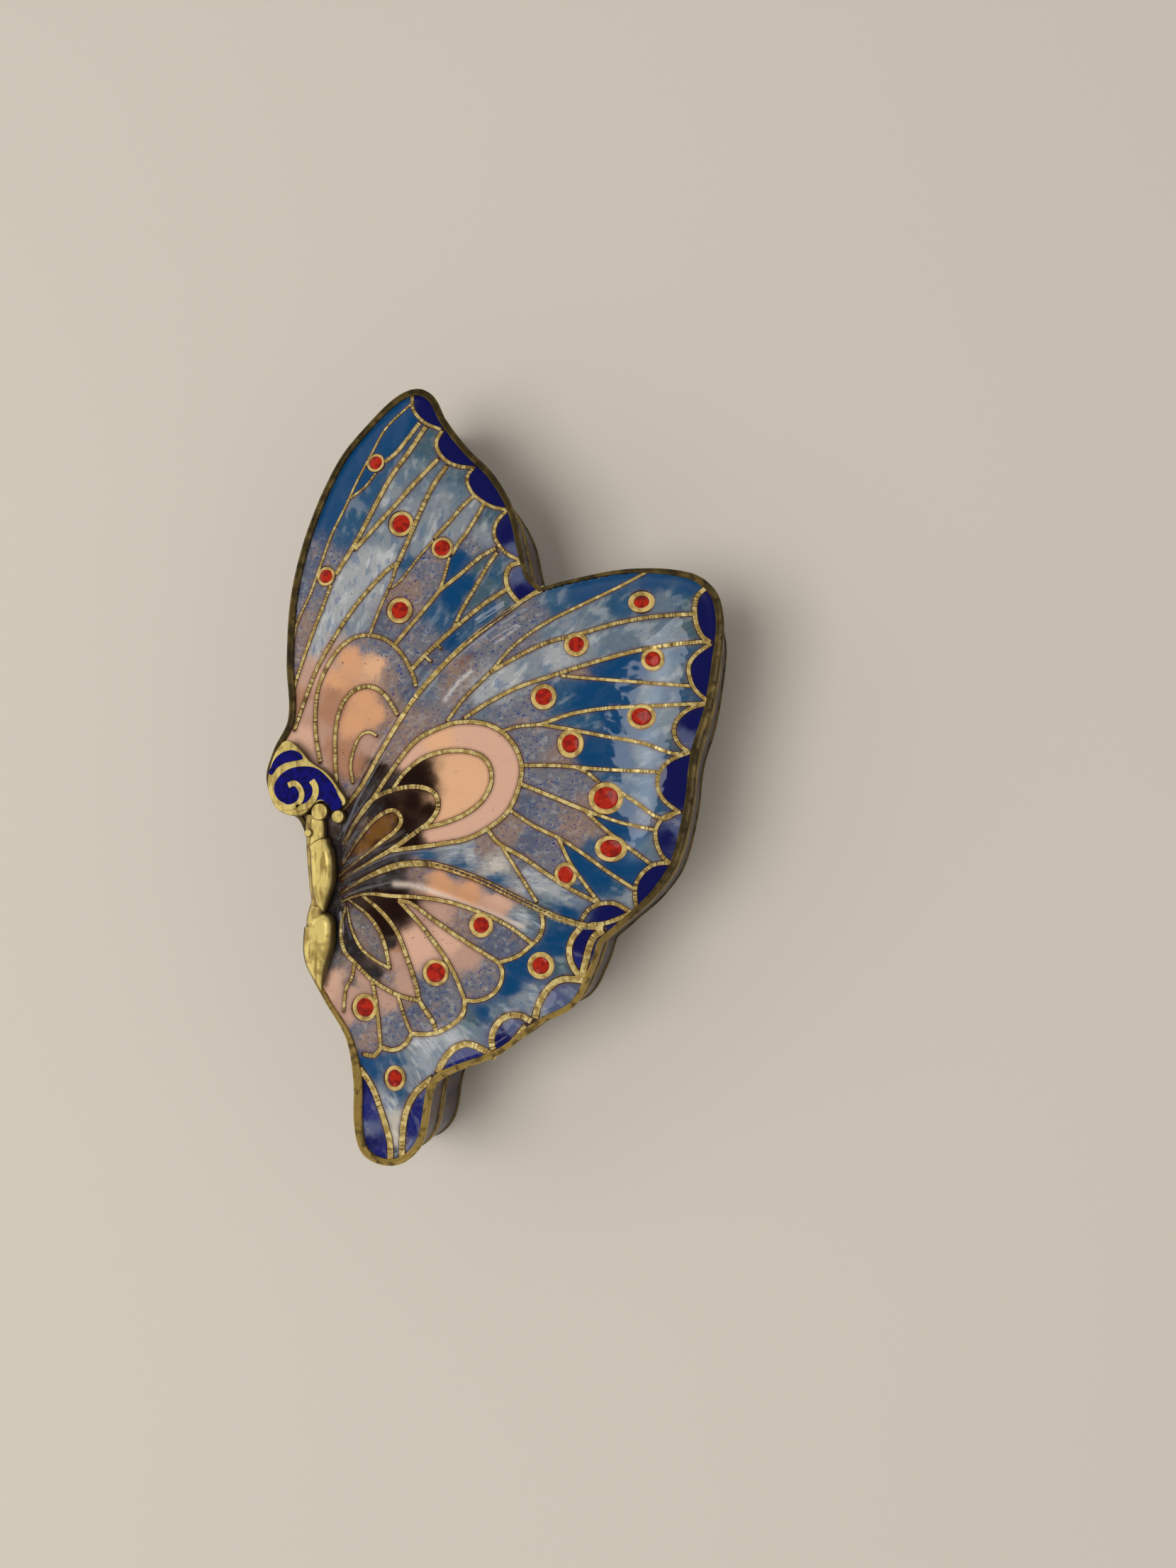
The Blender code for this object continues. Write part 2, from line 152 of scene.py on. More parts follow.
# Wires, as (width in millimetres, places). Places on the lid are pixels of the photograph from here on
LEADING_WIRE = (0.75, [(484, 1142), (509, 1111), (536, 1063), (561, 1021), (588, 981), (618, 946),
                       (653, 911), (695, 877), (733, 851), (768, 829)])
TRAILING_WIRE = (0.8, [(482, 1260), (490, 1254), (528, 1233), (566, 1220), (605, 1219), (643, 1229),
                       (682, 1244), (720, 1263), (778, 1291), (817, 1304), (851, 1309)])
UPPER_WIRES = [
    (0.32, [(579, 571), (545, 604), (524, 641), (503, 681), (486, 718), (468, 754), (453, 796),
            (438, 838), (418, 883), (412, 920)]),
    (0.32, [(493, 704), (515, 687), (530, 668)]),
    (0.55, [(543, 652), (559, 639), (572, 623), (592, 597)]),
    (0.60, [(601, 602), (576, 639), (553, 671), (530, 712), (513, 745), (495, 777), (474, 810)]),
    (0.45, [(467, 826), (453, 863), (438, 902), (422, 948), (410, 985)]),
    (0.55, [(618, 648), (584, 683), (555, 716), (530, 743), (501, 775)]),
    (0.55, [(630, 658), (609, 689), (591, 727), (576, 762), (559, 800)]),
    (0.50, [(560, 795), (545, 806), (515, 838), (490, 871), (468, 906), (447, 944), (432, 983),
            (416, 1029)]),
    (0.35, [(559, 798), (553, 820), (541, 846), (528, 879), (522, 895)]),
    (0.45, [(668, 700), (652, 715), (637, 733), (622, 749), (613, 759)]),
    (0.25, [(611, 763), (591, 786), (565, 819), (553, 829)]),
    (0.45, [(683, 711), (670, 733), (658, 752), (646, 768), (638, 782)]),
    (0.40, [(634, 787), (627, 813), (621, 831)]),
    (0.50, [(699, 774), (679, 785), (646, 813), (621, 833), (607, 850), (579, 883), (556, 911)]),
    (0.45, [(701, 780), (691, 794), (668, 833), (652, 860), (640, 886)]),
    (0.55, [(716, 831), (683, 852), (650, 879), (628, 898), (603, 921), (580, 945)]),
    (0.30, [(611, 912), (617, 910), (622, 915)]),
    (0.30, [(600, 925), (605, 931), (609, 933)]),
    (0.50, [(452, 1075), (446, 1040), (445, 1011), (449, 973), (460, 944), (476, 919), (494, 903),
            (515, 896), (541, 901), (560, 915), (574, 934), (584, 956), (587, 968)]),
    (0.50, [(475, 1105), (473, 1069), (474, 1027), (482, 996), (496, 977), (513, 969), (530, 971),
            (545, 983), (561, 1008)]),
    (0.35, [(498, 1104), (495, 1080), (501, 1052), (511, 1036), (522, 1033), (531, 1038)]),
    (0.45, [(582, 555), (582, 574), (589, 587), (602, 598), (622, 606)]),
    (0.50, [(624, 608), (616, 622), (618, 636), (628, 649), (644, 657), (666, 660)]),
    (0.45, [(669, 659), (660, 671), (660, 683), (667, 696), (680, 707), (695, 715), (713, 719)]),
    (0.45, [(716, 720), (704, 732), (698, 744), (698, 757), (704, 769), (715, 781), (734, 791)]),
    (0.60, [(736, 793), (720, 799), (714, 812), (716, 828), (724, 841), (733, 851)]),
]
FOREWING_WIRES = [
    (0.40, [(631, 1017), (655, 985), (691, 949), (725, 911), (768, 880), (819, 854), (871, 829),
            (914, 806)]),
    (0.50, [(691, 949), (725, 929), (768, 908), (819, 894), (871, 879), (922, 870), (981, 866)]),
    (0.50, [(655, 1013), (691, 990), (730, 970), (768, 957), (819, 940), (871, 925), (909, 916),
            (960, 908), (1001, 905)]),
    (0.40, [(791, 953), (819, 956), (896, 962), (974, 968)]),
    (0.40, [(710, 1031), (730, 1025), (763, 1022)]),
    (0.45, [(763, 1022), (807, 1007), (858, 999), (922, 996), (996, 992)]),
    (0.45, [(763, 1022), (804, 1029), (850, 1038), (909, 1049), (950, 1063), (971, 1061)]),
    (0.45, [(735, 1080), (784, 1080), (845, 1085), (928, 1089)]),
    (0.45, [(812, 1082), (830, 1091), (845, 1104)]),
    (0.45, [(870, 1114), (900, 1134), (934, 1155), (957, 1145)]),
    (0.50, [(733, 1105), (784, 1126), (825, 1143), (842, 1149)]),
    (0.40, [(842, 1149), (878, 1161), (925, 1171)]),
    (0.45, [(826, 1144), (848, 1165), (875, 1187), (921, 1221)]),
    (0.45, [(718, 1142), (755, 1166), (788, 1182), (803, 1191), (836, 1214), (855, 1228), (896, 1255)]),
    (0.45, [(788, 1182), (803, 1215), (825, 1247), (845, 1273)]),
    (0.50, [(687, 1169), (703, 1189), (740, 1211), (773, 1234), (803, 1253), (842, 1273)]),
    (0.40, [(708, 1194), (734, 1235), (757, 1272)]),
    (0.60, [(996, 829), (984, 841), (980, 859), (983, 882), (991, 898), (1002, 906)]),
    (0.50, [(1003, 908), (981, 924), (972, 939), (973, 955), (980, 972), (1000, 991)]),
    (0.50, [(999, 992), (973, 1000), (955, 1016), (951, 1033), (958, 1050), (972, 1061)]),
    (0.50, [(973, 1061), (945, 1073), (930, 1091), (928, 1110), (936, 1128), (958, 1146)]),
    (0.50, [(960, 1145), (937, 1153), (926, 1168), (926, 1188), (934, 1207), (947, 1219)]),
    (0.50, [(949, 1217), (922, 1220), (903, 1236), (896, 1255), (898, 1285)]),
    (0.50, [(820, 1299), (830, 1284), (848, 1275), (868, 1275), (890, 1287)]),
    (0.55, [(834, 1304), (851, 1303), (870, 1297), (892, 1287)]),
    (0.55, [(487, 1192), (499, 1165), (526, 1127), (557, 1081), (586, 1046), (615, 1029), (647, 1019),
            (684, 1021), (710, 1034), (728, 1056), (736, 1083), (730, 1117), (714, 1148), (691, 1167),
            (660, 1183), (626, 1190), (590, 1195), (552, 1200)]),
    (0.50, [(555, 1112), (574, 1087), (603, 1067), (640, 1059), (674, 1064), (690, 1079), (693, 1104),
            (681, 1129), (659, 1147), (630, 1160), (598, 1168)]),
    (0.60, [(484, 1190), (505, 1154), (526, 1128), (557, 1114), (590, 1110), (613, 1119), (618, 1138),
            (608, 1157), (588, 1173), (553, 1198), (505, 1226), (482, 1241)]),
    (0.55, [(484, 1218), (511, 1177), (534, 1152), (555, 1143), (566, 1155), (560, 1170), (538, 1188),
            (497, 1220), (478, 1236)]),
]
HIND_WIRES = [
    (0.50, [(482, 1272), (496, 1266), (519, 1261), (554, 1264), (592, 1266), (631, 1272), (669, 1284),
            (712, 1303), (751, 1331)]),
    (0.50, [(764, 1288), (766, 1304), (762, 1320), (750, 1333), (730, 1349), (704, 1358)]),
    (0.50, [(703, 1357), (709, 1372), (704, 1392), (690, 1406), (672, 1412), (655, 1411)]),
    (0.55, [(656, 1410), (653, 1430), (640, 1444), (618, 1456), (600, 1459), (580, 1458)]),
    (0.55, [(581, 1458), (572, 1473), (555, 1481), (537, 1477)]),
    (0.55, [(538, 1477), (528, 1489), (513, 1487)]),
    (0.50, [(562, 1270), (579, 1274), (611, 1297), (650, 1324), (704, 1358)]),
    (0.50, [(563, 1271), (592, 1303), (621, 1341), (640, 1372), (656, 1411)]),
    (0.55, [(512, 1264), (538, 1286), (560, 1315), (575, 1353), (588, 1393), (592, 1412), (610, 1440),
            (616, 1457)]),
    (0.50, [(492, 1269), (521, 1293), (540, 1324), (550, 1366)]),
    (0.40, [(490, 1280), (496, 1310), (510, 1338), (530, 1355), (550, 1366)]),
    (0.50, [(488, 1278), (481, 1310), (486, 1341), (500, 1357), (525, 1382), (560, 1403), (592, 1412)]),
    (0.40, [(500, 1358), (497, 1378), (488, 1396), (485, 1426)]),
    (0.50, [(525, 1382), (531, 1416), (535, 1451), (537, 1478)]),
    (0.40, [(561, 1404), (573, 1440), (580, 1458)]),
    (0.75, [(820, 1308), (808, 1323), (803, 1340), (807, 1361), (820, 1380)]),
    (0.90, [(851, 1312), (838, 1322), (831, 1338), (826, 1358), (821, 1378)]),
    (0.85, [(823, 1383), (800, 1381), (783, 1386), (768, 1402), (759, 1420), (755, 1436)]),
    (0.80, [(750, 1441), (735, 1433), (717, 1433), (703, 1443), (695, 1458), (694, 1473), (700, 1490)]),
    (0.65, [(741, 1447), (728, 1464), (703, 1487)]),
    (0.85, [(618, 1513), (628, 1493), (643, 1478), (660, 1473), (680, 1480), (699, 1493)]),
    (0.80, [(508, 1507), (524, 1531), (534, 1556), (543, 1584), (550, 1610), (551, 1638)]),
    (0.80, [(610, 1521), (588, 1540), (575, 1563), (569, 1590), (567, 1638)]),
]

# Where the brush strokes fan out from, and how long they are against their width
SWEEP_FROM = (420, 1230)
SWEEP_LENGTH = 34

# Where the wires run together, within what reach, how much taller than wide that place is, and the least
# share of their width that the wires keep there
ROOT = (466, 1215)
ROOT_REACH = 80
ROOT_TALL = 1.6
LEAST_TAPER = 0.4

# The cut-off corner of a wire's section, as a share of its height, and how near points are joined
CORNER_SHARE = 0.28
JOIN_WITHIN = 0.001 * MM

# Red dots, as (middle, half width and half height of the red, radius of the ring), in pixels
DOTS = [
    (530, 653, 11, 11, 13.5), (460, 813, 11, 11, 14), (566, 739, 14.4, 14.4, 18.3),
    (624, 773, 12.5, 12.5, 15.5), (564, 861, 13.5, 13.5, 18.7),
    (905, 849, 12, 10, 17), (813, 909, 12, 12, 17), (921, 930, 11.5, 11.5, 16), (767, 983, 13, 13, 18),
    (905, 1011, 15, 13, 18.5), (805, 1049, 13, 14, 19), (855, 1126, 18, 16.5, 23),
    (862, 1197, 16, 13, 20), (798, 1234, 11.5, 12.5, 16),
    (679, 1305, 12, 12, 17), (763, 1362, 12.6, 12.6, 18.5), (615, 1372, 14.4, 14.4, 18.3),
    (515, 1421, 14, 14, 19), (557, 1521, 11, 13, 16)]

# Enamel colours as seen, 0 to 255, and how mottled and how brushed with white and blue each is, 0 to 1
# The pale, mist, ice and frost tones are partly the enamel's own paler tone and partly painted reflection
ENAMELS = {
    "turquoise": ((0, 62, 106), 0.02, 0.02),
    "sea": ((38, 78, 110), 0.15, 0.30),
    "teal": ((66, 90, 100), 0.20, 0.40),
    "slate": ((88, 92, 106), 0.8, 0.2),
    "lilac": ((110, 108, 114), 1.0, 0.1),
    "mauve": ((136, 114, 102), 0.8, 0.0),
    "pale": ((98, 114, 126), 0.2, 0.45),
    "mist": ((128, 136, 142), 0.2, 0.7),
    "ice": ((160, 163, 164), 0.2, 0.8),
    "frost_and_reflection": ((190, 182, 168), 0.1, 0.4),
    "tan": ((168, 120, 90), 0.15, 0.0),
    "pink": ((184, 146, 126), 0.12, 0.0),
    "blush": ((212, 168, 142), 0.06, 0.0),
    "peach": ((222, 172, 132), 0.03, 0.0),
    "apricot": ((212, 156, 114), 0.05, 0.0),
    "cobalt": ((8, 12, 78), 0.0, 0.0),
    "royal": ((26, 30, 102), 0.1, 0.2),
    "violet": ((80, 88, 122), 0.1, 0.3),
    "brown": ((26, 8, 2), 0.0, 0.0),
    "amber": ((112, 72, 20), 0.2, 0.0),
    "charcoal": ((38, 32, 30), 0.12, 0.0),
    "ash": ((108, 98, 92), 0.6, 0.0),
}

# Where each enamel lies. A place colours only its own cell, the more the nearer
PLACES = {
    "turquoise": [
        (545, 588), (495, 650), (462, 724), (562, 598), (540, 628), (515, 670), (645, 790), (658, 824),
        (638, 842), (640, 905), (820, 832), (870, 818), (900, 812), (930, 820), (970, 828), (865, 945),
        (890, 938), (845, 980), (885, 985), (822, 985), (872, 1022), (855, 1010), (830, 1066),
        (872, 1058), (885, 1076), (885, 1135), (868, 1164), (870, 1216), (892, 1238), (822, 1212),
        (850, 1240), (800, 1290), (740, 1364), (720, 1392), (690, 1428), (790, 1325), (520, 1500),
        (892, 1176), (780, 1330), (740, 1345)],
    "sea": [
        (487, 744), (528, 705), (500, 722), (612, 868), (686, 866), (655, 895), (572, 792), (785, 846),
        (790, 980), (840, 1018), (895, 1032), (650, 1219), (700, 1243), (862, 1092), (850, 1093),
        (872, 1254), (960, 842), (560, 1500), (840, 1200), (824, 1256), (780, 1285), (690, 812),
        (870, 852), (805, 1014), (600, 1210), (972, 980), (560, 1545), (952, 925), (942, 980), (930, 1072)],
    "teal": [
        (602, 632), (645, 676), (690, 730), (690, 822), (670, 842), (966, 890), (968, 950), (562, 1622),
        (800, 1360), (975, 855), (945, 1000), (680, 800), (765, 1282), (720, 845), (660, 1450)],
    "slate": [
        (430, 790), (612, 938), (592, 955), (590, 885), (700, 1334), (722, 1346), (585, 1426),
        (750, 1187), (575, 975), (606, 1404), (430, 830), (742, 1134), (540, 885)],
    "lilac": [
        (422, 850), (461, 795), (438, 850), (417, 880), (668, 768), (604, 790), (605, 838), (572, 912),
        (520, 905), (682, 914), (590, 905), (545, 914), (742, 1000), (700, 1012), (662, 1000),
        (762, 1046), (752, 1094), (785, 1106), (812, 1112), (775, 1150), (782, 1200), (735, 1216),
        (740, 912), (600, 806), (564, 940), (682, 1382), (660, 1396), (620, 1440), (636, 1424),
        (550, 1442), (562, 1464), (597, 1442), (505, 1452), (920, 1160), (745, 862), (722, 884)],
    "mauve": [
        (430, 872), (412, 1008), (555, 990), (545, 1036), (490, 1118), (650, 945), (800, 1160),
        (832, 1168), (826, 1132), (655, 1300), (680, 1196), (575, 1018), (545, 1064),
        (792, 1066), (722, 1166), (590, 1228), (550, 950), (590, 832), (560, 835), (522, 1466),
        (550, 1382), (640, 965), (515, 1320), (575, 1415), (800, 948)],
    # The pale places beside the forewing's right edge are painted reflection
    "pale": [
        (572, 668), (525, 738), (598, 680), (595, 960), (782, 892), (832, 866), (850, 872), (940, 850),
        (900, 892), (930, 888), (935, 935), (918, 985), (905, 1066), (925, 1202), (682, 1012),
        (640, 690), (620, 1482), (700, 1430), (860, 906), (745, 1310)],
    "mist": [
        (625, 700), (605, 722), (650, 745), (552, 765), (590, 766), (680, 752), (550, 700), (745, 945),
        (885, 1270), (800, 1268), (640, 1200), (736, 1300), (742, 1414), (580, 1488), (505, 886),
        (800, 884), (582, 1518), (832, 905)],
    "ice": [
        (520, 800), (490, 842), (545, 790), (468, 872), (450, 912), (680, 982), (700, 965), (720, 955),
        (790, 926), (660, 1203), (752, 1240), (782, 1256), (640, 1466), (610, 1474), (548, 1556)],
    # The frost places in the tail are painted reflection
    "frost_and_reflection": [(702, 1222), (552, 1596), (556, 1608), (555, 1580)],
    "tan": [(458, 1004), (470, 980), (462, 1050), (500, 1082), (480, 1060), (425, 990), (560, 1340)],
    "pink": [
        (470, 922), (436, 950), (440, 1000), (520, 1052), (620, 1286), (600, 1296), (560, 1352),
        (560, 1382), (576, 1396), (545, 1412), (510, 1382), (480, 1402), (490, 1430), (655, 1352),
        (500, 1400), (445, 1072), (458, 1045)],
    "blush": [
        (430, 1042), (450, 955), (580, 1060), (662, 1036), (622, 1180), (670, 1165), (720, 1086),
        (700, 1278), (470, 1382), (462, 1396), (630, 1326), (702, 1052), (590, 1330)],
    "peach": [(642, 1090), (662, 1100), (640, 1142), (620, 1042), (530, 940), (610, 1120)],
    "apricot": [
        (495, 930), (515, 992), (500, 1022), (530, 1010), (620, 1248), (662, 1258), (470, 962)],
    "cobalt": [
        (598, 580), (635, 630), (683, 686), (716, 756), (738, 838), (994, 880), (990, 940), (975, 1020),
        (945, 1100), (942, 1182), (915, 1250), (860, 1290), (815, 1330), (706, 1462),
        (513, 1524), (525, 1612), (955, 1120)],
    "royal": [(516, 1568), (585, 1590), (590, 1560), (540, 1628), (650, 1492), (812, 1358), (660, 1484)],
    "violet": [
        (727, 778), (728, 812), (968, 1046), (953, 1172), (790, 1408), (726, 1448), (664, 1500),
        (580, 1622), (522, 1590), (596, 1535)],
    "brown": [
        (535, 1082), (592, 1100), (586, 1096), (582, 1130), (602, 1142), (606, 1120),
        (598, 1112), (570, 1160), (540, 1192), (545, 1136), (560, 1254), (535, 1256), (540, 1298),
        (546, 1316), (575, 1182), (565, 1102), (580, 1184), (576, 1270), (560, 1285)],
    "amber": [(546, 1160), (530, 1176), (512, 1196)],
    "ash": [(515, 1318), (530, 1345), (506, 1300), (470, 1360), (500, 1385)],
    "charcoal": [
        (470, 1290), (478, 1330), (494, 1345), (490, 1318), (486, 1200), (486, 1230), (478, 1250),
        (500, 1135), (520, 1100), (526, 1140), (545, 1112), (560, 1210), (520, 1212), (520, 1246),
        (475, 1300), (552, 1332), (530, 1372), (500, 1180), (530, 1224), (500, 1240), (540, 1236)],
}

# Head, beads and body, in pixels: outlines of the plate and of its two blue fields, and the curls
HEAD_OUTLINE = [(404, 1044), (420, 1054), (436, 1073), (460, 1090), (477, 1112), (487, 1133), (470, 1137),
                (452, 1130), (438, 1140), (424, 1150), (404, 1149), (388, 1139), (379, 1120), (377, 1098),
                (383, 1072), (392, 1054)]
HEAD_CRESCENT = [(381, 1093), (383, 1080), (390, 1068), (402, 1060), (416, 1059), (427, 1069),
                 (417, 1073), (403, 1076), (391, 1083)]
HEAD_FIELD = [(387, 1117), (388, 1105), (396, 1093), (410, 1084), (430, 1081), (446, 1084), (459, 1094),
              (469, 1106), (477, 1122), (482, 1136), (470, 1143), (462, 1134), (452, 1128), (440, 1134),
              (424, 1140), (406, 1135), (393, 1128)]
HEAD_CURLS = [
    (0.75, [(407, 1108), (415, 1105), (422, 1110), (426, 1120), (423, 1131), (413, 1138), (400, 1139)]),
    (0.85, [(440, 1101), (445, 1110), (445, 1121), (439, 1132), (430, 1138), (418, 1140)]),
]
CURL_RISE = 0.1 * MM
HEAD_BEVEL = 0.2 * MM
HEAD_SINK = 0.1 * MM
FIELD_DEPTH = 0.3 * MM

# Beads, as (x, y, radius) in pixels
BEADS = [(450, 1145, 11.7), (476, 1152, 9), (434, 1175, 5.5)]
BEAD_RISE = 1.2 * MM
BEAD_BEVEL = 0.25 * MM

# The body pieces from head to tail, as (x, y, half width) in pixels
NECK = [(449, 1156, 10), (449, 1162, 11), (449, 1178, 11), (449, 1186, 12), (449, 1194, 13)]
THORAX = [(448, 1186, 11), (450, 1190, 16.5), (451, 1194, 15), (454, 1205, 17), (456, 1225, 17.5),
          (456, 1240, 17), (454.5, 1258, 14), (454, 1275, 9), (454, 1285, 5), (454, 1292, 1.5)]
BODY_SIDE = [(441, 1150, 9), (440, 1168, 9), (442, 1180, 10), (442, 1200, 9.5), (443, 1225, 8.5),
             (444.5, 1250, 8), (447, 1270, 8), (446, 1283, 10), (446, 1296, 10)]
ABDOMEN = [(447, 1279, 9.5), (445.5, 1290, 12), (446, 1298, 14.5), (450.5, 1303, 20.5), (451, 1310, 21.5),
           (450, 1329, 22), (448, 1345, 20), (447.5, 1360, 16), (449, 1374, 11), (451, 1388, 5),
           (452, 1397, 1)]

# The body's round bars: the share of their height at which their outlines were read, the least half width
# in pixels, how steep their sides are, and the share of their depth that is left below the seat
SIGHT_SHARE = 0.25
LEAST_HALF = 0.5
STEEPNESS = 1.2
UNDER_SHARE = 0.3

# Each body piece, as (stations, drop and height in millimetres, finish, the solid that it stands for)
BODY = {
    "body_neck": (NECK, 0, 0.9, "body brass", ("neck",)),
    "body_thorax": (THORAX, 0, 1.3, "body brass", ("thorax",)),
    "body_abdomen": (ABDOMEN, 0, 1.4, "body brass", ("abdomen",)),
    # The side strip gets a darker copy of the body brass, as painted shade on the thorax's side
    "body_side": (BODY_SIDE, 0.3, 0.9, "side brass", ()),
}

# The stage: lights, as (place, power, size, whether the gloss mirrors it)
LIGHTS = {
    "key light": ((-0.40, -0.12, 0.88), 6.4, 0.60, False),
    "overhead light": ((0.16, 0.10, 0.95), 0.8, 0.28, True),
    "low window": ((-0.15, -0.42, 0.85), 0.3, 0.22, True),
    "side window": ((-0.9, 0.3, 0.5), 0.5, 0.5, True),
}
FLOOR_SIZE = 3

# The sky: its colour, and its strength at the horizon and overhead
SKY = (1.0, 0.97, 0.92, 1)
SKY_STRENGTH = (0.62, 0.05)
SENSOR = 36


def seen_colour(red, green, blue):
    """A colour as seen, 0 to 255, in the linear values that a shader takes."""
    return tuple(((part / 255 + 0.055) / 1.055) ** 2.4 if part > 10 else part / 255 / 12.92
                 for part in (red, green, blue))


def smooth_path(anchors, closed, spacing, corners=()):
    """Points a spacing apart on a curve through the anchors. Any further values of an anchor go along."""
    knots = np.array(anchors, float)
    count = len(knots)
    if closed:
        before, after = np.roll(knots, 1, axis=0), np.roll(knots, -1, axis=0)
    else:
        before, after = np.vstack([knots[:1], knots[:-1]]), np.vstack([knots[1:], knots[-1:]])
    tangent = after - before
    tangent /= np.linalg.norm(tangent[:, :2], axis=1)[:, None]
    found = []
    for index in range(count if closed else count - 1):
        start, end = knots[index], knots[(index + 1) % count]
        reach = np.linalg.norm((end - start)[:2])
        leave = (end - start) if index in corners else tangent[index] * reach
        arrive = (end - start) if (index + 1) % count in corners else tangent[(index + 1) % count] * reach
        t = np.arange(max(2, round(reach / spacing)))[:, None] / max(2, round(reach / spacing))
        found.append((2 * t**3 - 3 * t**2 + 1) * start + (t**3 - 2 * t**2 + t) * leave
                     + (3 * t**2 - 2 * t**3) * end + (t**3 - t**2) * arrive)
    if not closed:
        found.append(knots[-1:])
    return np.vstack(found)


def outline_in_metres():
    """(loop, widths, notches): the outline about its middle, the edge wire's width at each point, and the
    places of the two notches."""
    path = smooth_path(OUTLINE, True, OUTLINE_SPACING, (FORE_NOTCH, HIND_NOTCH))
    low, high = path[:, :2].min(axis=0), path[:, :2].max(axis=0)
    share = LENGTH / (high[1] - low[1])
    middle = (low + high) / 2
    notches = [(np.array(OUTLINE[index][:2]) - middle) * share for index in (FORE_NOTCH, HIND_NOTCH)]
    return (path[:, :2] - middle) * share, path[:, 2] * MM, notches


EDGE, EDGE_WIDTH, NOTCHES = outline_in_metres()


def inset(loop, distance):
    """The loop, clockwise, moved in by the distance, with mitred corners."""
    ahead = np.roll(loop, -1, axis=0) - loop
    ahead /= np.linalg.norm(ahead, axis=1)[:, None]
    inward = np.column_stack([ahead[:, 1], -ahead[:, 0]])
    behind = np.roll(inward, 1, axis=0)
    mitre = (inward + behind) / (1 + (inward * behind).sum(axis=1))[:, None]
    return loop + mitre * np.reshape(distance, (-1, 1))


def is_inside(points, loop):
    """Whether each point lies inside the loop, by counting crossings to the right."""
    ends = np.roll(loop, -1, axis=0)
    inside = np.zeros(len(points), bool)
    for (x0, y0), (x1, y1) in zip(loop, ends):
        if y0 == y1:
            continue
        crosses = (y0 > points[:, 1]) != (y1 > points[:, 1])
        inside ^= crosses & (points[:, 0] < x0 + (points[:, 1] - y0) * (x1 - x0) / (y1 - y0))
    return inside


def nearest(points, samples):
    """(numbers, distances): each point's nearest sample in the plane, and how far away it is."""
    tree = kdtree.KDTree(len(samples))
    for number, sample in enumerate(samples):
        tree.insert((sample[0], sample[1], 0), number)
    tree.balance()
    found = [tree.find((point[0], point[1], 0)) for point in points]
    return np.array([number for _, number, _ in found]), np.array([distance for _, _, distance in found])


class Map:
    """Values on a level grid over the box, read between its points."""

    STEP = 0.25 * MM
    LOW = EDGE.min(axis=0) - 1.5 * MM
    SHAPE = ((EDGE.max(axis=0) + 1.5 * MM - LOW) / STEP).astype(int) + 2

    def __init__(self, values_of):
        x, y = np.meshgrid(*(self.LOW[k] + np.arange(self.SHAPE[k]) * self.STEP for k in (0, 1)),
                           indexing="ij")
        self.values = values_of(np.column_stack([x.ravel(), y.ravel()])).reshape(self.SHAPE)

    def at(self, points):
        place = (np.asarray(points)[:, :2] - self.LOW) / self.STEP
        place = np.clip(place, 0, np.array(self.SHAPE) - 1.001)
        cell = place.astype(int)
        part = place - cell
        i, j = cell[:, 0], cell[:, 1]
        return ((1 - part[:, 0]) * (1 - part[:, 1]) * self.values[i, j]
                + part[:, 0] * (1 - part[:, 1]) * self.values[i + 1, j]
                + (1 - part[:, 0]) * part[:, 1] * self.values[i, j + 1]
                + part[:, 0] * part[:, 1] * self.values[i + 1, j + 1])


def camera_axes():
    """Rows are the world's X, Y and Z as the camera sees them."""
    up = np.array(CAMERA_UP) / np.linalg.norm(CAMERA_UP)
    right = np.array([1.0, 0, 0]) - up[0] * up
    right /= np.linalg.norm(right)
    return np.array([right, np.cross(up, right), up])


AXES = camera_axes()
LENS = np.array(CAMERA_PLACE) * MM


def on_level(pixels, level):
    """Where the photograph's pixels lie on a level, or on each one's own level."""
    pixels = np.asarray(pixels, float)
    rays = np.column_stack([(pixels[:, 0] - MIDDLE_PIXEL[0]) / FOCAL_PIXELS,
                            (MIDDLE_PIXEL[1] - pixels[:, 1]) / FOCAL_PIXELS, -np.ones(len(pixels))])
    rays = rays @ AXES.T
    return (LENS + rays * ((level - LENS[2]) / rays[:, 2])[:, None])[:, :2]


def pixels_of(points):
    """The photograph's pixels of places in metres."""
    rays = (points - LENS) @ AXES
    return np.column_stack([MIDDLE_PIXEL[0] - FOCAL_PIXELS * rays[:, 0] / rays[:, 2],
                            MIDDLE_PIXEL[1] + FOCAL_PIXELS * rays[:, 1] / rays[:, 2]])


def signed_depth(loop):
    """How far inside the loop each place lies, less than 0 outside."""
    samples = smooth_path(loop, True, 0.1 * MM)
    return Map(lambda points: np.where(is_inside(points, loop), 1, -1) * nearest(points, samples)[1])


DEPTH = signed_depth(EDGE)

# The line between the upper wing and the hindwing, at the root
SPLIT = on_level([(480, 1200)], EDGE_LEVEL)[0, 1]


def dome(points):
    """The height of the top without its forewing: it rises from the edge wire and levels off."""
    depth = np.maximum(DEPTH.at(points) - TOP_SETBACK, 0)
    return EDGE_LEVEL + DOME_RISE * (1 - np.exp(-depth / DOME_REACH))


def forewing_loop():
    """The forewing's edge: past the outline on its free side, and along its two wires elsewhere."""
    leading = on_level(smooth_path(LEADING_WIRE[1], False, 4), MIDDLE_LEVEL)
    trailing = on_level(smooth_path(TRAILING_WIRE[1], False, 4), MIDDLE_LEVEL)
    free = [NOTCHES[1], NOTCHES[1] + PAST_HIND_NOTCH, NOTCHES[0] + PAST_FORE_NOTCH, NOTCHES[0]]
    return np.vstack([leading[::-1], trailing, free])


FOREWING = signed_depth(forewing_loop())


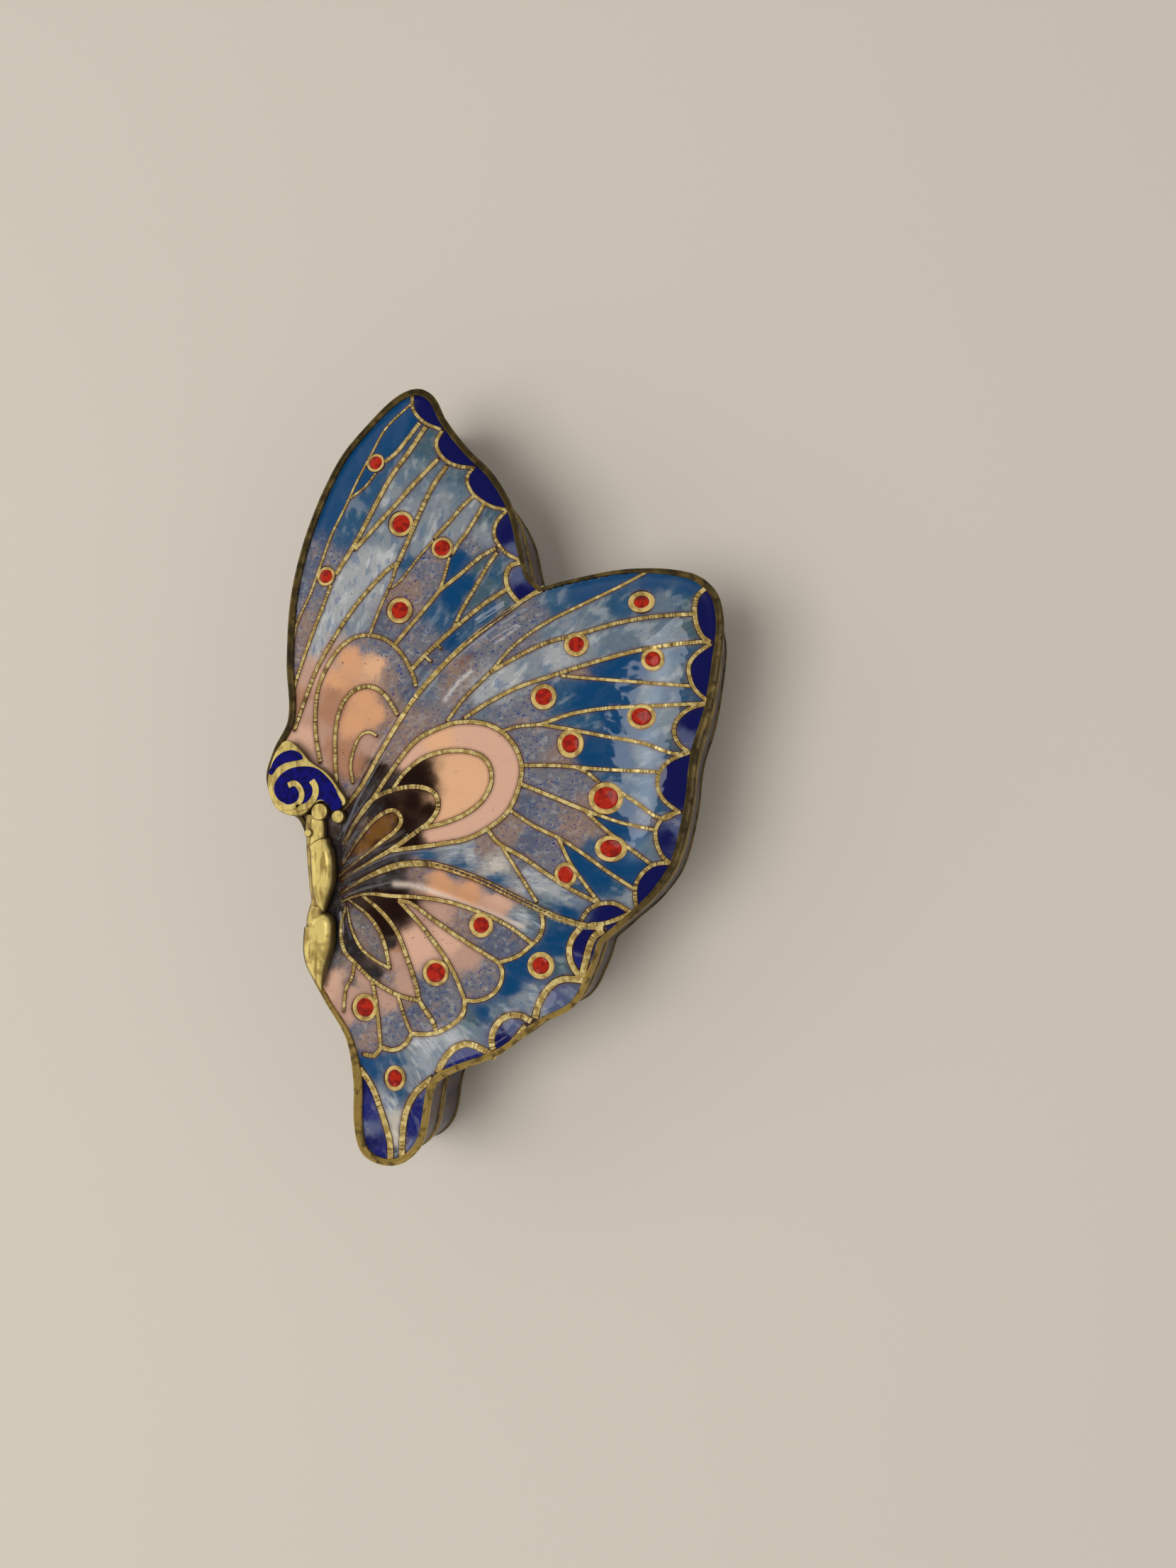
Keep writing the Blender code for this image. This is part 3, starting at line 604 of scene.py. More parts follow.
def bump_along(points, path, width):
    """A ridge of height 1 along a path of pixels, its half width given in metres."""
    line = on_level(smooth_path(path, False, 2), MIDDLE_LEVEL)
    low, high = line.min(axis=0) - RIDGE_REACH * width, line.max(axis=0) + RIDGE_REACH * width
    near = ((points[:, :2] > low) & (points[:, :2] < high)).all(axis=1)
    rise = np.zeros(len(points))
    rise[near] = np.exp(-(nearest(points[near], line)[1] / width) ** 2)
    return rise


# Ridges of the pressed sheet, as (height and width in millimetres, path)
RIDGES = [
    (0.45, 0.75, [(545, 1246), (580, 1243), (625, 1257), (670, 1275), (715, 1296), (752, 1316)]),
    (-0.20, 0.5, [(500, 1106), (528, 1056), (560, 1006), (600, 950), (650, 900), (712, 855)]),
    (0.25, 0.6, [(505, 1135), (540, 1075), (580, 1014), (625, 962), (670, 922), (730, 880)]),
    (0.28, 0.35, [(484, 1168), (505, 1138), (530, 1098), (548, 1070)]),
    (0.28, 0.35, [(480, 1190), (500, 1158), (520, 1134)]),
    (0.28, 0.32, [(480, 1214), (500, 1186), (522, 1158)]),
    (0.28, 0.35, [(482, 1226), (510, 1212), (545, 1194), (575, 1178)]),
    (0.26, 0.35, [(486, 1242), (520, 1225), (560, 1208), (600, 1204), (650, 1208), (690, 1220)]),
    (-0.2, 0.3, [(484, 1248), (520, 1231), (560, 1214)]),
    (0.26, 0.35, [(480, 1264), (505, 1252), (540, 1244)]),
    (0.28, 0.35, [(476, 1285), (480, 1310), (478, 1340), (474, 1370)]),
    (-0.2, 0.25, [(470, 1285), (474, 1320), (472, 1350)]),
    (0.24, 0.35, [(485, 1272), (500, 1290), (510, 1310)]),
]

# Painted highlights and reflections along the flutes and ridges, and one dark reddish streak, as (half
# width in millimetres, share, colour, path)
PAINTED_HIGHLIGHTS = [
    (0.16, 0.60, (122, 126, 138), [(562, 1037), (530, 1080), (513, 1117), (502, 1140), (487, 1170)]),
    (0.14, 0.45, (120, 128, 148), [(560, 1048), (537, 1077), (522, 1107)]),
    (0.14, 0.40, (110, 114, 122), [(480, 1177), (510, 1140), (530, 1110)]),
    (0.14, 0.40, (104, 106, 114), [(483, 1192), (503, 1165), (520, 1145)]),
    (0.14, 0.45, (110, 112, 120), [(487, 1230), (527, 1203), (570, 1190)]),
    (0.16, 0.50, (122, 130, 146), [(490, 1238), (530, 1217), (577, 1203), (630, 1202), (690, 1216)]),
    (0.14, 0.40, (104, 106, 114), [(487, 1257), (513, 1243), (545, 1235)]),
    (0.38, 0.75, (222, 202, 186),
     [(560, 1247), (590, 1250), (631, 1265), (660, 1277), (694, 1290), (740, 1307)]),
    (0.14, 0.50, (132, 128, 128), [(492, 1262), (517, 1253), (543, 1247), (565, 1242)]),
    (0.16, 0.45, (112, 114, 126), [(480, 1290), (483, 1323), (480, 1343)]),
    (0.14, 0.40, (108, 110, 120), [(492, 1276), (488, 1297), (495, 1323)]),
    (0.16, 0.40, (100, 104, 116), [(470, 1297), (475, 1330), (472, 1353)]),
    (0.28, 0.80, (206, 202, 196), [(632, 990), (650, 966), (668, 950)]),
    (0.30, 0.55, (112, 62, 60), [(652, 940), (664, 930), (672, 925)]),
    (0.12, 0.50, (200, 206, 212), [(578, 1010), (612, 966), (655, 924), (700, 888), (745, 858)]),
    (0.95, 0.36, (118, 148, 176),
     [(938, 930), (922, 990), (914, 1050), (914, 1110), (908, 1160), (896, 1205)]),
    (0.12, 0.45, (200, 206, 212), [(515, 742), (500, 772), (486, 800), (474, 830)]),
]


def lay_painted_highlights(points, paint):
    """The paint with the painted highlights and reflections over it."""
    for half, share, tint, path in PAINTED_HIGHLIGHTS:
        amount = share * bump_along(points, path, half * MM)[:, None]
        paint = paint * (1 - amount) + np.array(seen_colour(*tint)) * amount
    return paint


def relief_heights(points):
    """The height of the top with its forewing and flutes."""
    step = np.clip(FOREWING.at(points) / STEP_WIDTH + 0.5, 0, 1)
    root = on_level([LEADING_WIRE[1][0]], EDGE_LEVEL)[0, 0]
    ramp = np.clip((points[:, 0] - root) / STEP_START, 0, 1)
    rise = FOREWING_STEP * (1 - np.exp(-np.maximum(DEPTH.at(points), 0) / STEP_REACH))
    height = dome(points) + rise * ramp * step * step * (3 - 2 * step)
    for ridge, width, path in RIDGES:
        height += ridge * MM * bump_along(points, path, width * MM)
    return height


RELIEF = Map(relief_heights)


def on_lid(pixels):
    """Where pixels of the photograph lie on the lid, in metres."""
    level = np.full(len(pixels), EDGE_LEVEL)
    for _ in range(5):
        places = on_level(pixels, level)
        level = RELIEF.at(places)
    return places


def wire_paths():
    """Every wire on the lid, as pixels a step apart."""
    wires = UPPER_WIRES + FOREWING_WIRES + HIND_WIRES + [LEADING_WIRE, TRAILING_WIRE]
    return [(width, smooth_path(places, False, 1.0)) for width, places in wires]


WIRE_PATHS = wire_paths()


class Cells:
    """The enamel cells between the wires, found on a grid of the photograph's pixels."""

    LEFT, TOP, WIDE, TALL = 360, 530, 680, 1130
    BARRIER = 2.2
    SPREADS = 24
    EDGE_SHARE = 0.7

    # How the places of a cell share it: the square of a small distance, and how fast a place gives way
    CLOSE = 30
    FALL = 2.2

    # How far the borders between two colours wander, as (reach, size) in pixels
    WANDER = ((6, 15), (3, 5))

    def __init__(self):
        free = np.ones((self.TALL, self.WIDE), bool)
        for _, path in WIRE_PATHS:
            for x, y in path:
                self.block(free, x, y, self.BARRIER)
        edge = inset(EDGE, EDGE_WIDTH * self.EDGE_SHARE)
        edge = pixels_of(np.column_stack([edge, np.full(len(edge), WIRE_HIGH)]))
        for x, y in smooth_path(edge, True, 1.0):
            self.block(free, x, y, self.BARRIER)
        for x, y, _, _, ring in DOTS:
            self.block(free, x, y, ring)
        self.cell = self.joined(free)
        for _ in range(self.SPREADS):
            self.spread()
        self.places = []
        for name, spots in PLACES.items():
            colour, mottle, brushed = ENAMELS[name]
            for x, y in spots:
                self.places.append((self.at(x, y), x, y, *seen_colour(*colour), mottle, brushed))
        self.places = np.array(self.places)

    def block(self, free, x, y, radius):
        """Takes a disc out of the free pixels."""
        rows = slice(max(int(y - radius - self.TOP), 0), int(y + radius - self.TOP) + 2)
        columns = slice(max(int(x - radius - self.LEFT), 0), int(x + radius - self.LEFT) + 2)
        down, across = np.mgrid[rows, columns]
        near = (down + self.TOP - y) ** 2 + (across + self.LEFT - x) ** 2 <= radius**2
        free[rows, columns] &= ~near[:free[rows, columns].shape[0], :free[rows, columns].shape[1]]

    def joined(self, free):
        """The number of each free pixel's cell, from runs along the rows joined to those above."""
        parent = [0]

        def head(run):
            while parent[run] != run:
                parent[run] = parent[parent[run]]
                run = parent[run]
            return run

        cell = np.zeros(free.shape, int)
        for row in range(free.shape[0]):
            edges = np.flatnonzero(np.diff(np.concatenate([[False], free[row], [False]]).astype(int)))
            for start, stop in edges.reshape(-1, 2):
                parent.append(len(parent))
                run = len(parent) - 1
                if row:
                    for above in np.unique(cell[row - 1, start:stop]):
                        if above:
                            parent[head(run)] = head(above)
                cell[row, start:stop] = run
        heads = np.array([head(run) for run in range(len(parent))])
        return heads[cell]

    def spread(self):
        """Grows every cell by one pixel into what is still bare."""
        for axis in (0, 1):
            for turn in (1, -1):
                moved = np.roll(self.cell, turn, axis=axis)
                self.cell = np.where(self.cell == 0, moved, self.cell)

    def at(self, x, y):
        """The number of the cell at a pixel."""
        row = np.clip(np.round(np.asarray(y) - self.TOP).astype(int), 0, self.TALL - 1)
        column = np.clip(np.round(np.asarray(x) - self.LEFT).astype(int), 0, self.WIDE - 1)
        return self.cell[row, column]

    def wander(self, x, y, shift):
        """How far a pixel is read off its place."""
        return sum(reach * noise.noise((x / size, y / size, shift)) for reach, size in self.WANDER)

    def paint(self, pixels):
        """(colour, mottle, brushed) at pixels, from the cell's own places, each by its nearness."""
        cell = self.at(pixels[:, 0], pixels[:, 1])
        made = np.zeros((len(pixels), 5))
        pixels = pixels + [[self.wander(x, y, shift) for shift in (0.5, 7.5)] for x, y in pixels]
        known = set(self.places[:, 0].astype(int))
        for number in np.unique(cell):
            here = np.flatnonzero(cell == number)
            places = self.places[self.places[:, 0] == number] if number in known else self.places
            gap = ((pixels[here, None, :] - places[None, :, 1:3]) ** 2).sum(axis=2)
            weight = 1 / (gap + self.CLOSE) ** self.FALL
            made[here] = (weight @ places[:, 3:]) / weight.sum(axis=1)[:, None]
        return made[:, :3], made[:, 3], made[:, 4]


def deselect():
    if bpy.context.object and bpy.context.object.mode != "OBJECT":
        bpy.ops.object.mode_set(mode="OBJECT")
    bpy.ops.object.select_all(action="DESELECT")


def activate(piece):
    deselect()
    piece.select_set(True)
    bpy.context.view_layer.objects.active = piece


def apply_modifiers(piece):
    activate(piece)
    for modifier in list(piece.modifiers):
        bpy.ops.object.modifier_apply(modifier=modifier.name)


def apply_place(piece):
    activate(piece)
    bpy.ops.object.transform_apply(location=True, rotation=True, scale=True)


def merged(name, parts):
    """The parts as one object of that name."""
    deselect()
    for part in parts:
        part.select_set(True)
    bpy.context.view_layer.objects.active = parts[0]
    bpy.ops.object.join()
    parts[0].name = name
    parts[0].data.name = name
    return parts[0]


def finish_piece(piece, look, nodes=(), smooth_degrees=40):
    """Gives a piece its body, slot and finish, and hides the solids that it stands for."""
    activate(piece)
    bpy.ops.object.shade_smooth_by_angle(angle=math.radians(smooth_degrees))
    piece.data.materials.clear()
    piece.data.materials.append(finish(look))
    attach(piece, "root")
    if nodes:
        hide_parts(*nodes)
    deselect()
    return piece


def loop_object(name, loop, level, fill):
    """A circle whose points are moved to the loop, at that level."""
    deselect()
    bpy.ops.mesh.primitive_circle_add(vertices=len(loop), radius=1, fill_type=fill)
    piece = bpy.context.object
    piece.name = name
    levels = np.broadcast_to(level, len(loop))
    piece.data.vertices.foreach_set("co", np.column_stack([loop[::-1], levels[::-1]]).ravel())
    piece.data.update()
    return piece


def edit_all(piece):
    """Opens a piece for editing, with all of it selected."""
    activate(piece)
    bpy.ops.object.mode_set(mode="EDIT")
    bpy.ops.mesh.select_all(action="SELECT")


def extrude_up(piece, height):
    edit_all(piece)
    bpy.ops.mesh.extrude_region_move(TRANSFORM_OT_translate={"value": (0, 0, height)})
    bpy.ops.mesh.select_all(action="SELECT")
    bpy.ops.mesh.normals_make_consistent(inside=False)
    bpy.ops.object.mode_set(mode="OBJECT")


def round_edges(piece, width, segments, degrees=30):
    """Bevels the edges sharper than an angle, and applies the piece's modifiers."""
    soft = piece.modifiers.new("edges", "BEVEL")
    soft.width = width
    soft.segments = segments
    soft.limit_method = "ANGLE"
    soft.angle_limit = math.radians(degrees)
    apply_modifiers(piece)


def band(name, setback, low, high, width, bevel, widths=None):
    """A closed ring that follows the outline: a standing strip, thickened inwards, its edges rounded."""
    piece = loop_object(name, inset(EDGE, setback), low, "NOTHING")
    extrude_up(piece, high - low)
    if widths is not None:
        group = piece.vertex_groups.new(name="width")
        for vertex in piece.data.vertices:
            place = len(widths) - 1 - vertex.index % len(widths)
            group.add([vertex.index], widths[place] / widths.max(), "REPLACE")
    thick = piece.modifiers.new("wall", "SOLIDIFY")
    thick.thickness = width
    thick.offset = -1
    thick.use_even_offset = True
    if widths is not None:
        thick.vertex_group = "width"
    round_edges(piece, bevel, 3, 60)
    return piece


def face_outwards(piece):
    """Joins the points that lie together, such as a cap's and its tube's, and turns every face outwards."""
    edit_all(piece)
    bpy.ops.mesh.remove_doubles(threshold=JOIN_WITHIN)
    bpy.ops.mesh.normals_make_consistent(inside=False)
    bpy.ops.object.mode_set(mode="OBJECT")


def coordinates(piece):
    found = np.empty(len(piece.data.vertices) * 3)
    piece.data.vertices.foreach_get("co", found)
    return found.reshape(-1, 3)


def set_coordinates(piece, points):
    piece.data.vertices.foreach_set("co", points.ravel())
    piece.data.update()


def raise_piece(piece, height):
    """Raises every point of a piece by a height, or by each point's own."""
    points = coordinates(piece)
    points[:, 2] += height
    set_coordinates(piece, points)


def lay_on_lid(piece):
    """Raises every point of a flat piece by the lid's height under it."""
    raise_piece(piece, RELIEF.at(coordinates(piece)))


def add_attribute(piece, name, kind, values):
    field = {"FLOAT_COLOR": "color", "FLOAT_VECTOR": "vector", "FLOAT": "value"}[kind]
    piece.data.attributes.new(name, kind, "POINT").data.foreach_set(field, np.ravel(values))


def swept(pixels):
    """Places for brush strokes that fan out from the root of the wings: across them, and along them."""
    across, along = pixels[:, 0] - SWEEP_FROM[0], pixels[:, 1] - SWEEP_FROM[1]
    turned, far = np.arctan2(along, across), np.hypot(across, along)
    return np.column_stack([turned * SWEEP_LENGTH, far / SWEEP_LENGTH, np.zeros(len(pixels))])


def root_taper(pixels):
    """The share of its width that a wire keeps where the wires run together at the root of the wings."""
    gap = np.hypot(pixels[:, 0] - ROOT[0], (pixels[:, 1] - ROOT[1]) / ROOT_TALL)
    return np.clip(gap / ROOT_REACH, LEAST_TAPER, 1.0)


def curve_object(name, dimensions, places, radii=1.0):
    """A curve of straight steps through places in the plane, each with its radius."""
    curve = bpy.data.curves.new(name, "CURVE")
    curve.dimensions = dimensions
    spline = curve.splines.new("POLY")
    spline.points.add(len(places) - 1)
    for point, (x, y), radius in zip(spline.points, places, np.broadcast_to(radii, len(places))):
        point.co = (x, y, 0, 1)
        point.radius = radius
    piece = bpy.data.objects.new(name, curve)
    bpy.context.scene.collection.objects.link(piece)
    return piece


def as_mesh(piece):
    """A curve turned into a closed mesh."""
    piece.data.twist_mode = "Z_UP"
    piece.data.use_fill_caps = True
    activate(piece)
    bpy.ops.object.convert(target="MESH")
    return bpy.context.object


def flat_bar(name, points, width, height, taper=1.0):
    """A flat wire, its top edges cut off, along places in metres, standing on the level 0."""
    half = width / 2
    corner = min(width, height) * CORNER_SHARE
    section = [(-half, -height), (-half, height - corner), (-half + corner, height),
               (half - corner, height), (half, height - corner), (half, -height)]
    profile = curve_object("wire profile", "2D", section)
    profile.data.splines[0].use_cyclic_u = True
    bar = curve_object(name, "3D", points, taper)
    bar.data.bevel_mode = "OBJECT"
    bar.data.bevel_object = profile
    bar = as_mesh(bar)
    bpy.data.objects.remove(profile, do_unlink=True)
    return bar


def new_material(name, **values):
    """(material, its node tree, its shader's inputs), with values set by the inputs' names."""
    material = bpy.data.materials.new(name)
    material.use_nodes = True
    shader = material.node_tree.nodes["Principled BSDF"]
    for socket, value in values.items():
        shader.inputs[socket.replace("_", " ")].default_value = value
    return material, material.node_tree, shader.inputs


def add_node(tree, kind, values, **settings):
    """A node of a kind, with its settings, and its sockets linked or set by name or number."""
    node = tree.nodes.new("ShaderNode" + kind)
    for setting, value in settings.items():
        setattr(node, setting, value)
    fill_sockets(tree, node, values)
    return node


def fill_sockets(tree, node, values):
    for socket, value in values.items():
        if isinstance(value, bpy.types.NodeSocket):
            tree.links.new(value, node.inputs[socket])
        else:
            node.inputs[socket].default_value = value


def maths(tree, operation, first, second):
    return add_node(tree, "Math", {0: first, 1: second}, operation=operation).outputs[0]


def ramp(tree, value, low, high, to_low=0.0, to_high=1.0):
    return add_node(tree, "MapRange",
                    {"Value": value, "From Min": low, "From Max": high, "To Min": to_low,
                     "To Max": to_high}, interpolation_type="SMOOTHSTEP").outputs["Result"]


def mixed(tree, share, first, second):
    """The second colour over the first, by a share."""
    return add_node(tree, "Mix", {0: share, 6: first, 7: second}, data_type="RGBA").outputs[2]


def noise_value(tree, place, scale, detail):
    return add_node(tree, "TexNoise", {"Vector": place, "Scale": scale, "Detail": detail}).outputs["Fac"]


def seen(red, green, blue):
    return (*seen_colour(red, green, blue), 1)


def new_effect(name, inputs, outputs):
    """An empty shader node group with named sockets, and its inside."""
    tree = bpy.data.node_groups.new(name, "ShaderNodeTree")
    for in_out, sockets in (("INPUT", inputs), ("OUTPUT", outputs)):
        for label, kind in sockets.items():
            tree.interface.new_socket(label, in_out=in_out, socket_type="NodeSocket" + kind)
    return tree, tree.nodes.new("NodeGroupInput").outputs, tree.nodes.new("NodeGroupOutput")


def tinted_specks():
    """Specks, clouds or streaks of a tint laid over a colour, where a noise lies between two levels."""
    tree, entry, leave = new_effect(
        "tinted specks", {"Vector": "Vector", "Color": "Color", "Tint": "Color", "Scale": "Float",
                          "Detail": "Float", "Low": "Float", "High": "Float", "Share": "Float"},
        {"Color": "Color", "Mask": "Float"})
    field = noise_value(tree, entry["Vector"], entry["Scale"], entry["Detail"])
    share = maths(tree, "MULTIPLY", ramp(tree, field, entry["Low"], entry["High"]),
                  entry["Share"])
    fill_sockets(tree, leave, {"Color": mixed(tree, share, entry["Color"], entry["Tint"]),
                                "Mask": share})
    return tree


def uneven_surface():
    """A slight swell of the surface, as of fired enamel or filed metal, with an added height."""
    tree, entry, leave = new_effect(
        "uneven surface", {"Vector": "Vector", "Scale": "Float", "Height": "Float", "Strength": "Float",
                           "Distance": "Float"}, {"Normal": "Vector", "Swell": "Float"})
    swell = noise_value(tree, entry["Vector"], entry["Scale"], 2.0)
    height = maths(tree, "ADD", swell, entry["Height"])
    bump = add_node(tree, "Bump", {"Height": height, "Strength": entry["Strength"],
                                           "Distance": entry["Distance"]})
    fill_sockets(tree, leave, {"Normal": bump.outputs["Normal"], "Swell": swell})
    return tree


EFFECTS = {"tinted specks": tinted_specks, "uneven surface": uneven_surface}


def effect(tree, name, values):
    """A shared effect placed in a material with its own values, built when it is first asked for."""
    node = tree.nodes.new("ShaderNodeGroup")
    node.node_tree = bpy.data.node_groups.get(name) or EFFECTS[name]()
    fill_sockets(tree, node, values)
    return node.outputs


def specks(tree, place, colour, tint, scale, detail, low, high, share):
    return effect(tree, "tinted specks",
                  {"Vector": place, "Color": colour, "Tint": seen(*tint), "Scale": scale, "Detail": detail,
                   "Low": low, "High": high, "Share": share})


def swelling(tree, place, scale, strength, distance, height=0.0):
    return effect(tree, "uneven surface", {"Vector": place, "Scale": scale, "Height": height,
                                                   "Strength": strength, "Distance": distance})


def places_of(tree):
    return tree.nodes.new("ShaderNodeTexCoord").outputs["Object"]


def attribute(tree, name):
    return add_node(tree, "Attribute", {}, attribute_name=name).outputs


def steepness(tree, level, steep, share):
    """0 where the surface lies level, up to the share where it is steep."""
    normal = add_node(tree, "NewGeometry", {}).outputs["Normal"]
    upright = add_node(tree, "SeparateXYZ", {0: normal}).outputs["Z"]
    return ramp(tree, upright, level, steep, 0, share)


def stretched(tree, place, stretch):
    return add_node(tree, "Mapping", {"Vector": place, "Scale": stretch}).outputs["Vector"]


# Layers of the wing enamel, as (tint, scale and detail of the noise, the two levels between which the tint
# comes in, its share): strokes where the enamel is brushed, and clouds and specks where it is mottled
# The white strokes are partly painted reflection on the pale enamels
BRUSHED_LAYERS = [
    ((204, 206, 204), 1.0, 6, 0.50, 0.64, 0.62),
    ((52, 92, 136), 1.7, 5, 0.48, 0.36, 0.60),
]
MOTTLED_LAYERS = [
    ((172, 172, 170), 1300, 6, 0.53, 0.64, 0.36),
    ((50, 80, 124), 2300, 5, 0.47, 0.36, 0.60),
    ((160, 130, 112), 700, 5, 0.54, 0.66, 0.42),
    ((24, 34, 120), 3000, 1, 0.64, 0.71, 0.90),
]

# Streaks of the wall enamel, as (tint, share)
WALL_STREAKS = [((46, 46, 60), 0.8), ((96, 84, 88), 0.6), ((84, 60, 44), 0.6), ((112, 112, 118), 0.4)]


def enamel_material(name):
    """Glossy enamel in the painted colours, mottled, specked, and burnt brown beside the wires."""
    material, tree, shader = new_material(
        name, Roughness=0.5, Specular_IOR_Level=0.1, Coat_Weight=1.0, Coat_Roughness=0.05)
    place = places_of(tree)
    colour = attribute(tree, "enamel")["Color"]
    mottle = attribute(tree, "mottle")["Fac"]
    wire = attribute(tree, "wire_distance")["Fac"]
    sweep = attribute(tree, "sweep")["Vector"]
    brushed = attribute(tree, "brushed")["Fac"]
    for tint, scale, detail, low, high, share in BRUSHED_LAYERS:
        colour = specks(tree, sweep, colour, tint, scale, detail, low, high,
                        maths(tree, "MULTIPLY", brushed, share))["Color"]
    for tint, scale, detail, low, high, share in MOTTLED_LAYERS:
        colour = specks(tree, place, colour, tint, scale, detail, low, high,
                        maths(tree, "MULTIPLY", mottle, share))["Color"]
    colour = specks(tree, place, colour, (38, 24, 24), 2600, 1, 0.74, 0.78, 0.8)["Color"]
    haze = ramp(tree, wire, 0.50 * MM, 0.10 * MM, 0, 0.36)
    pale = ramp(tree, add_node(tree, "RGBToBW", {0: colour}).outputs[0], 0.02, 0.12)
    colour = mixed(tree, maths(tree, "MULTIPLY", haze, pale), colour, seen(104, 64, 50))
    spots = noise_value(tree, place, 2100, 4)
    ragged = maths(tree, "ADD", wire, maths(tree, "MULTIPLY", spots, 0.12 * MM))
    fringe = ramp(tree, ragged, 0.17 * MM, 0.10 * MM, 0, 0.85)
    tree.links.new(mixed(tree, fringe, colour, seen(56, 28, 14)), shader["Base Color"])
    waves = swelling(tree, place, 260, 0.25, 0.4 * MM)["Normal"]
    tree.links.new(waves, shader["Normal"])
    tree.links.new(waves, shader["Coat Normal"])
    return material


def brass_material(name, light, dark, scratch, direction, roughness, metallic, side_shade=0.0):
    """Worn brass: two tones, fine scratches, and painted shade on its steep sides."""
    material, tree, shader = new_material(name, Metallic=metallic)
    place = places_of(tree)
    lines = stretched(tree, place, direction)
    clouds = specks(tree, place, seen(*light), dark, 700, 3, 0.54, 0.36, 0.6)
    scored = specks(tree, lines, clouds["Color"], dark, 1, 3, 0.52, 0.34, 0.75)
    # Painted shade: the steep sides are mixed towards dark brown
    steep = steepness(tree, 0.97, 0.60, side_shade)
    tree.links.new(mixed(tree, steep, scored["Color"], seen(74, 56, 22)), shader["Base Color"])
    tree.links.new(ramp(tree, scored["Mask"], 0, 0.7, roughness, roughness + 0.12), shader["Roughness"])
    tree.links.new(swelling(tree, lines, 1, scratch, 0.1 * MM)["Normal"], shader["Normal"])
    return material


def rim_material(name):
    """Brass of the edge wire: dark and dull round the upper wings, golden towards the tail."""
    material, tree, shader = new_material(name, Metallic=0.6)
    place = places_of(tree)
    worn = specks(tree, place, seen(78, 64, 32), (112, 92, 48), 420, 4, 0.46, 0.62, 1.0)
    along = add_node(tree, "SeparateXYZ", {0: place}).outputs["Y"]
    drift = maths(tree, "MULTIPLY", noise_value(tree, place, 90, 2), 16 * MM)
    tail = ramp(tree, maths(tree, "ADD", along, drift), -2 * MM, -22 * MM, 0.0, 0.70)
    colour = mixed(tree, tail, worn["Color"], seen(196, 162, 84))
    lines = stretched(tree, place, (900, 900, 900))
    scored = specks(tree, lines, colour, (46, 34, 14), 1, 3, 0.53, 0.36, 0.7)
    tree.links.new(scored["Color"], shader["Base Color"])
    tree.links.new(ramp(tree, scored["Mask"], 0, 0.7, 0.32, 0.46), shader["Roughness"])
    tree.links.new(swelling(tree, lines, 1, 0.3, 0.1 * MM)["Normal"], shader["Normal"])
    return material


def wire_material(name):
    """Flat brass wire with fine cuts across it, and brown in the cuts."""
    material, tree, shader = new_material(name, Metallic=0.4)
    place = places_of(tree)
    number = maths(tree, "MULTIPLY", attribute(tree, "wire")["Fac"], 3.7)
    along = add_node(tree, "CombineXYZ", {"X": attribute(tree, "along")["Fac"], "Y": number})
    tone = specks(tree, place, seen(178, 148, 80), (238, 214, 142), 1300, 3, 0.42, 0.62, 0.9)
    worn = ramp(tree, noise_value(tree, place, 160, 3), 0.38, 0.60, 0.15, 0.85)
    cuts = specks(tree, along.outputs["Vector"], tone["Color"], (84, 58, 26), 4600, 2, 0.48, 0.62, worn)
    # Painted shade: the wires darken where they run together at the root
    dark = maths(tree, "MULTIPLY", attribute(tree, "shade")["Fac"], 0.72)
    tree.links.new(mixed(tree, dark, cuts["Color"], seen(52, 40, 26)), shader["Base Color"])
    tree.links.new(ramp(tree, tone["Mask"], 0, 1, 0.42, 0.28), shader["Roughness"])
    height = maths(tree, "MULTIPLY", cuts["Mask"], -1.6)
    tree.links.new(swelling(tree, place, 900, 0.5, 0.08 * MM, height)["Normal"], shader["Normal"])
    return material


def wall_material(name):
    """Streaky enamel of the walls: upright streaks in a few tints under a clear gloss."""
    material, tree, shader = new_material(
        name, Roughness=0.5, Specular_IOR_Level=0.15, Coat_Weight=0.35, Coat_Roughness=0.2)
    place = places_of(tree)
    colour = seen(74, 66, 64)
    for number, (tint, share) in enumerate(WALL_STREAKS):
        across = 520 - 110 * number
        streaks = stretched(tree, place, (across, across, 60 + 30 * number))
        colour = specks(tree, streaks, colour, tint, 1.0 + 0.13 * number, 4, 0.44, 0.62, share)["Color"]
    colour = specks(tree, place, colour, (40, 52, 110), 2200, 2, 0.66, 0.74, 1.0)["Color"]
    tree.links.new(colour, shader["Base Color"])
    tree.links.new(swelling(tree, place, 300, 0.3, 0.4 * MM)["Normal"], shader["Normal"])
    return material


def counter_enamel_material(name):
    """Dark blue counter-enamel of the inside and the underside, lightly pitted."""
    material, tree, shader = new_material(name, Roughness=0.3, Coat_Weight=0.8, Coat_Roughness=0.08)
    place = places_of(tree)
    colour = specks(tree, place, seen(22, 58, 112), (38, 86, 140), 180, 4, 0.4, 0.65, 1.0)["Color"]
    pits = specks(tree, place, colour, (14, 24, 52), 1800, 2, 0.68, 0.74, 1.0)
    tree.links.new(pits["Color"], shader["Base Color"])
    sunk = maths(tree, "MULTIPLY", pits["Mask"], -0.5)
    tree.links.new(swelling(tree, place, 1800, 0.2, 0.2 * MM, sunk)["Normal"], shader["Normal"])
    return material


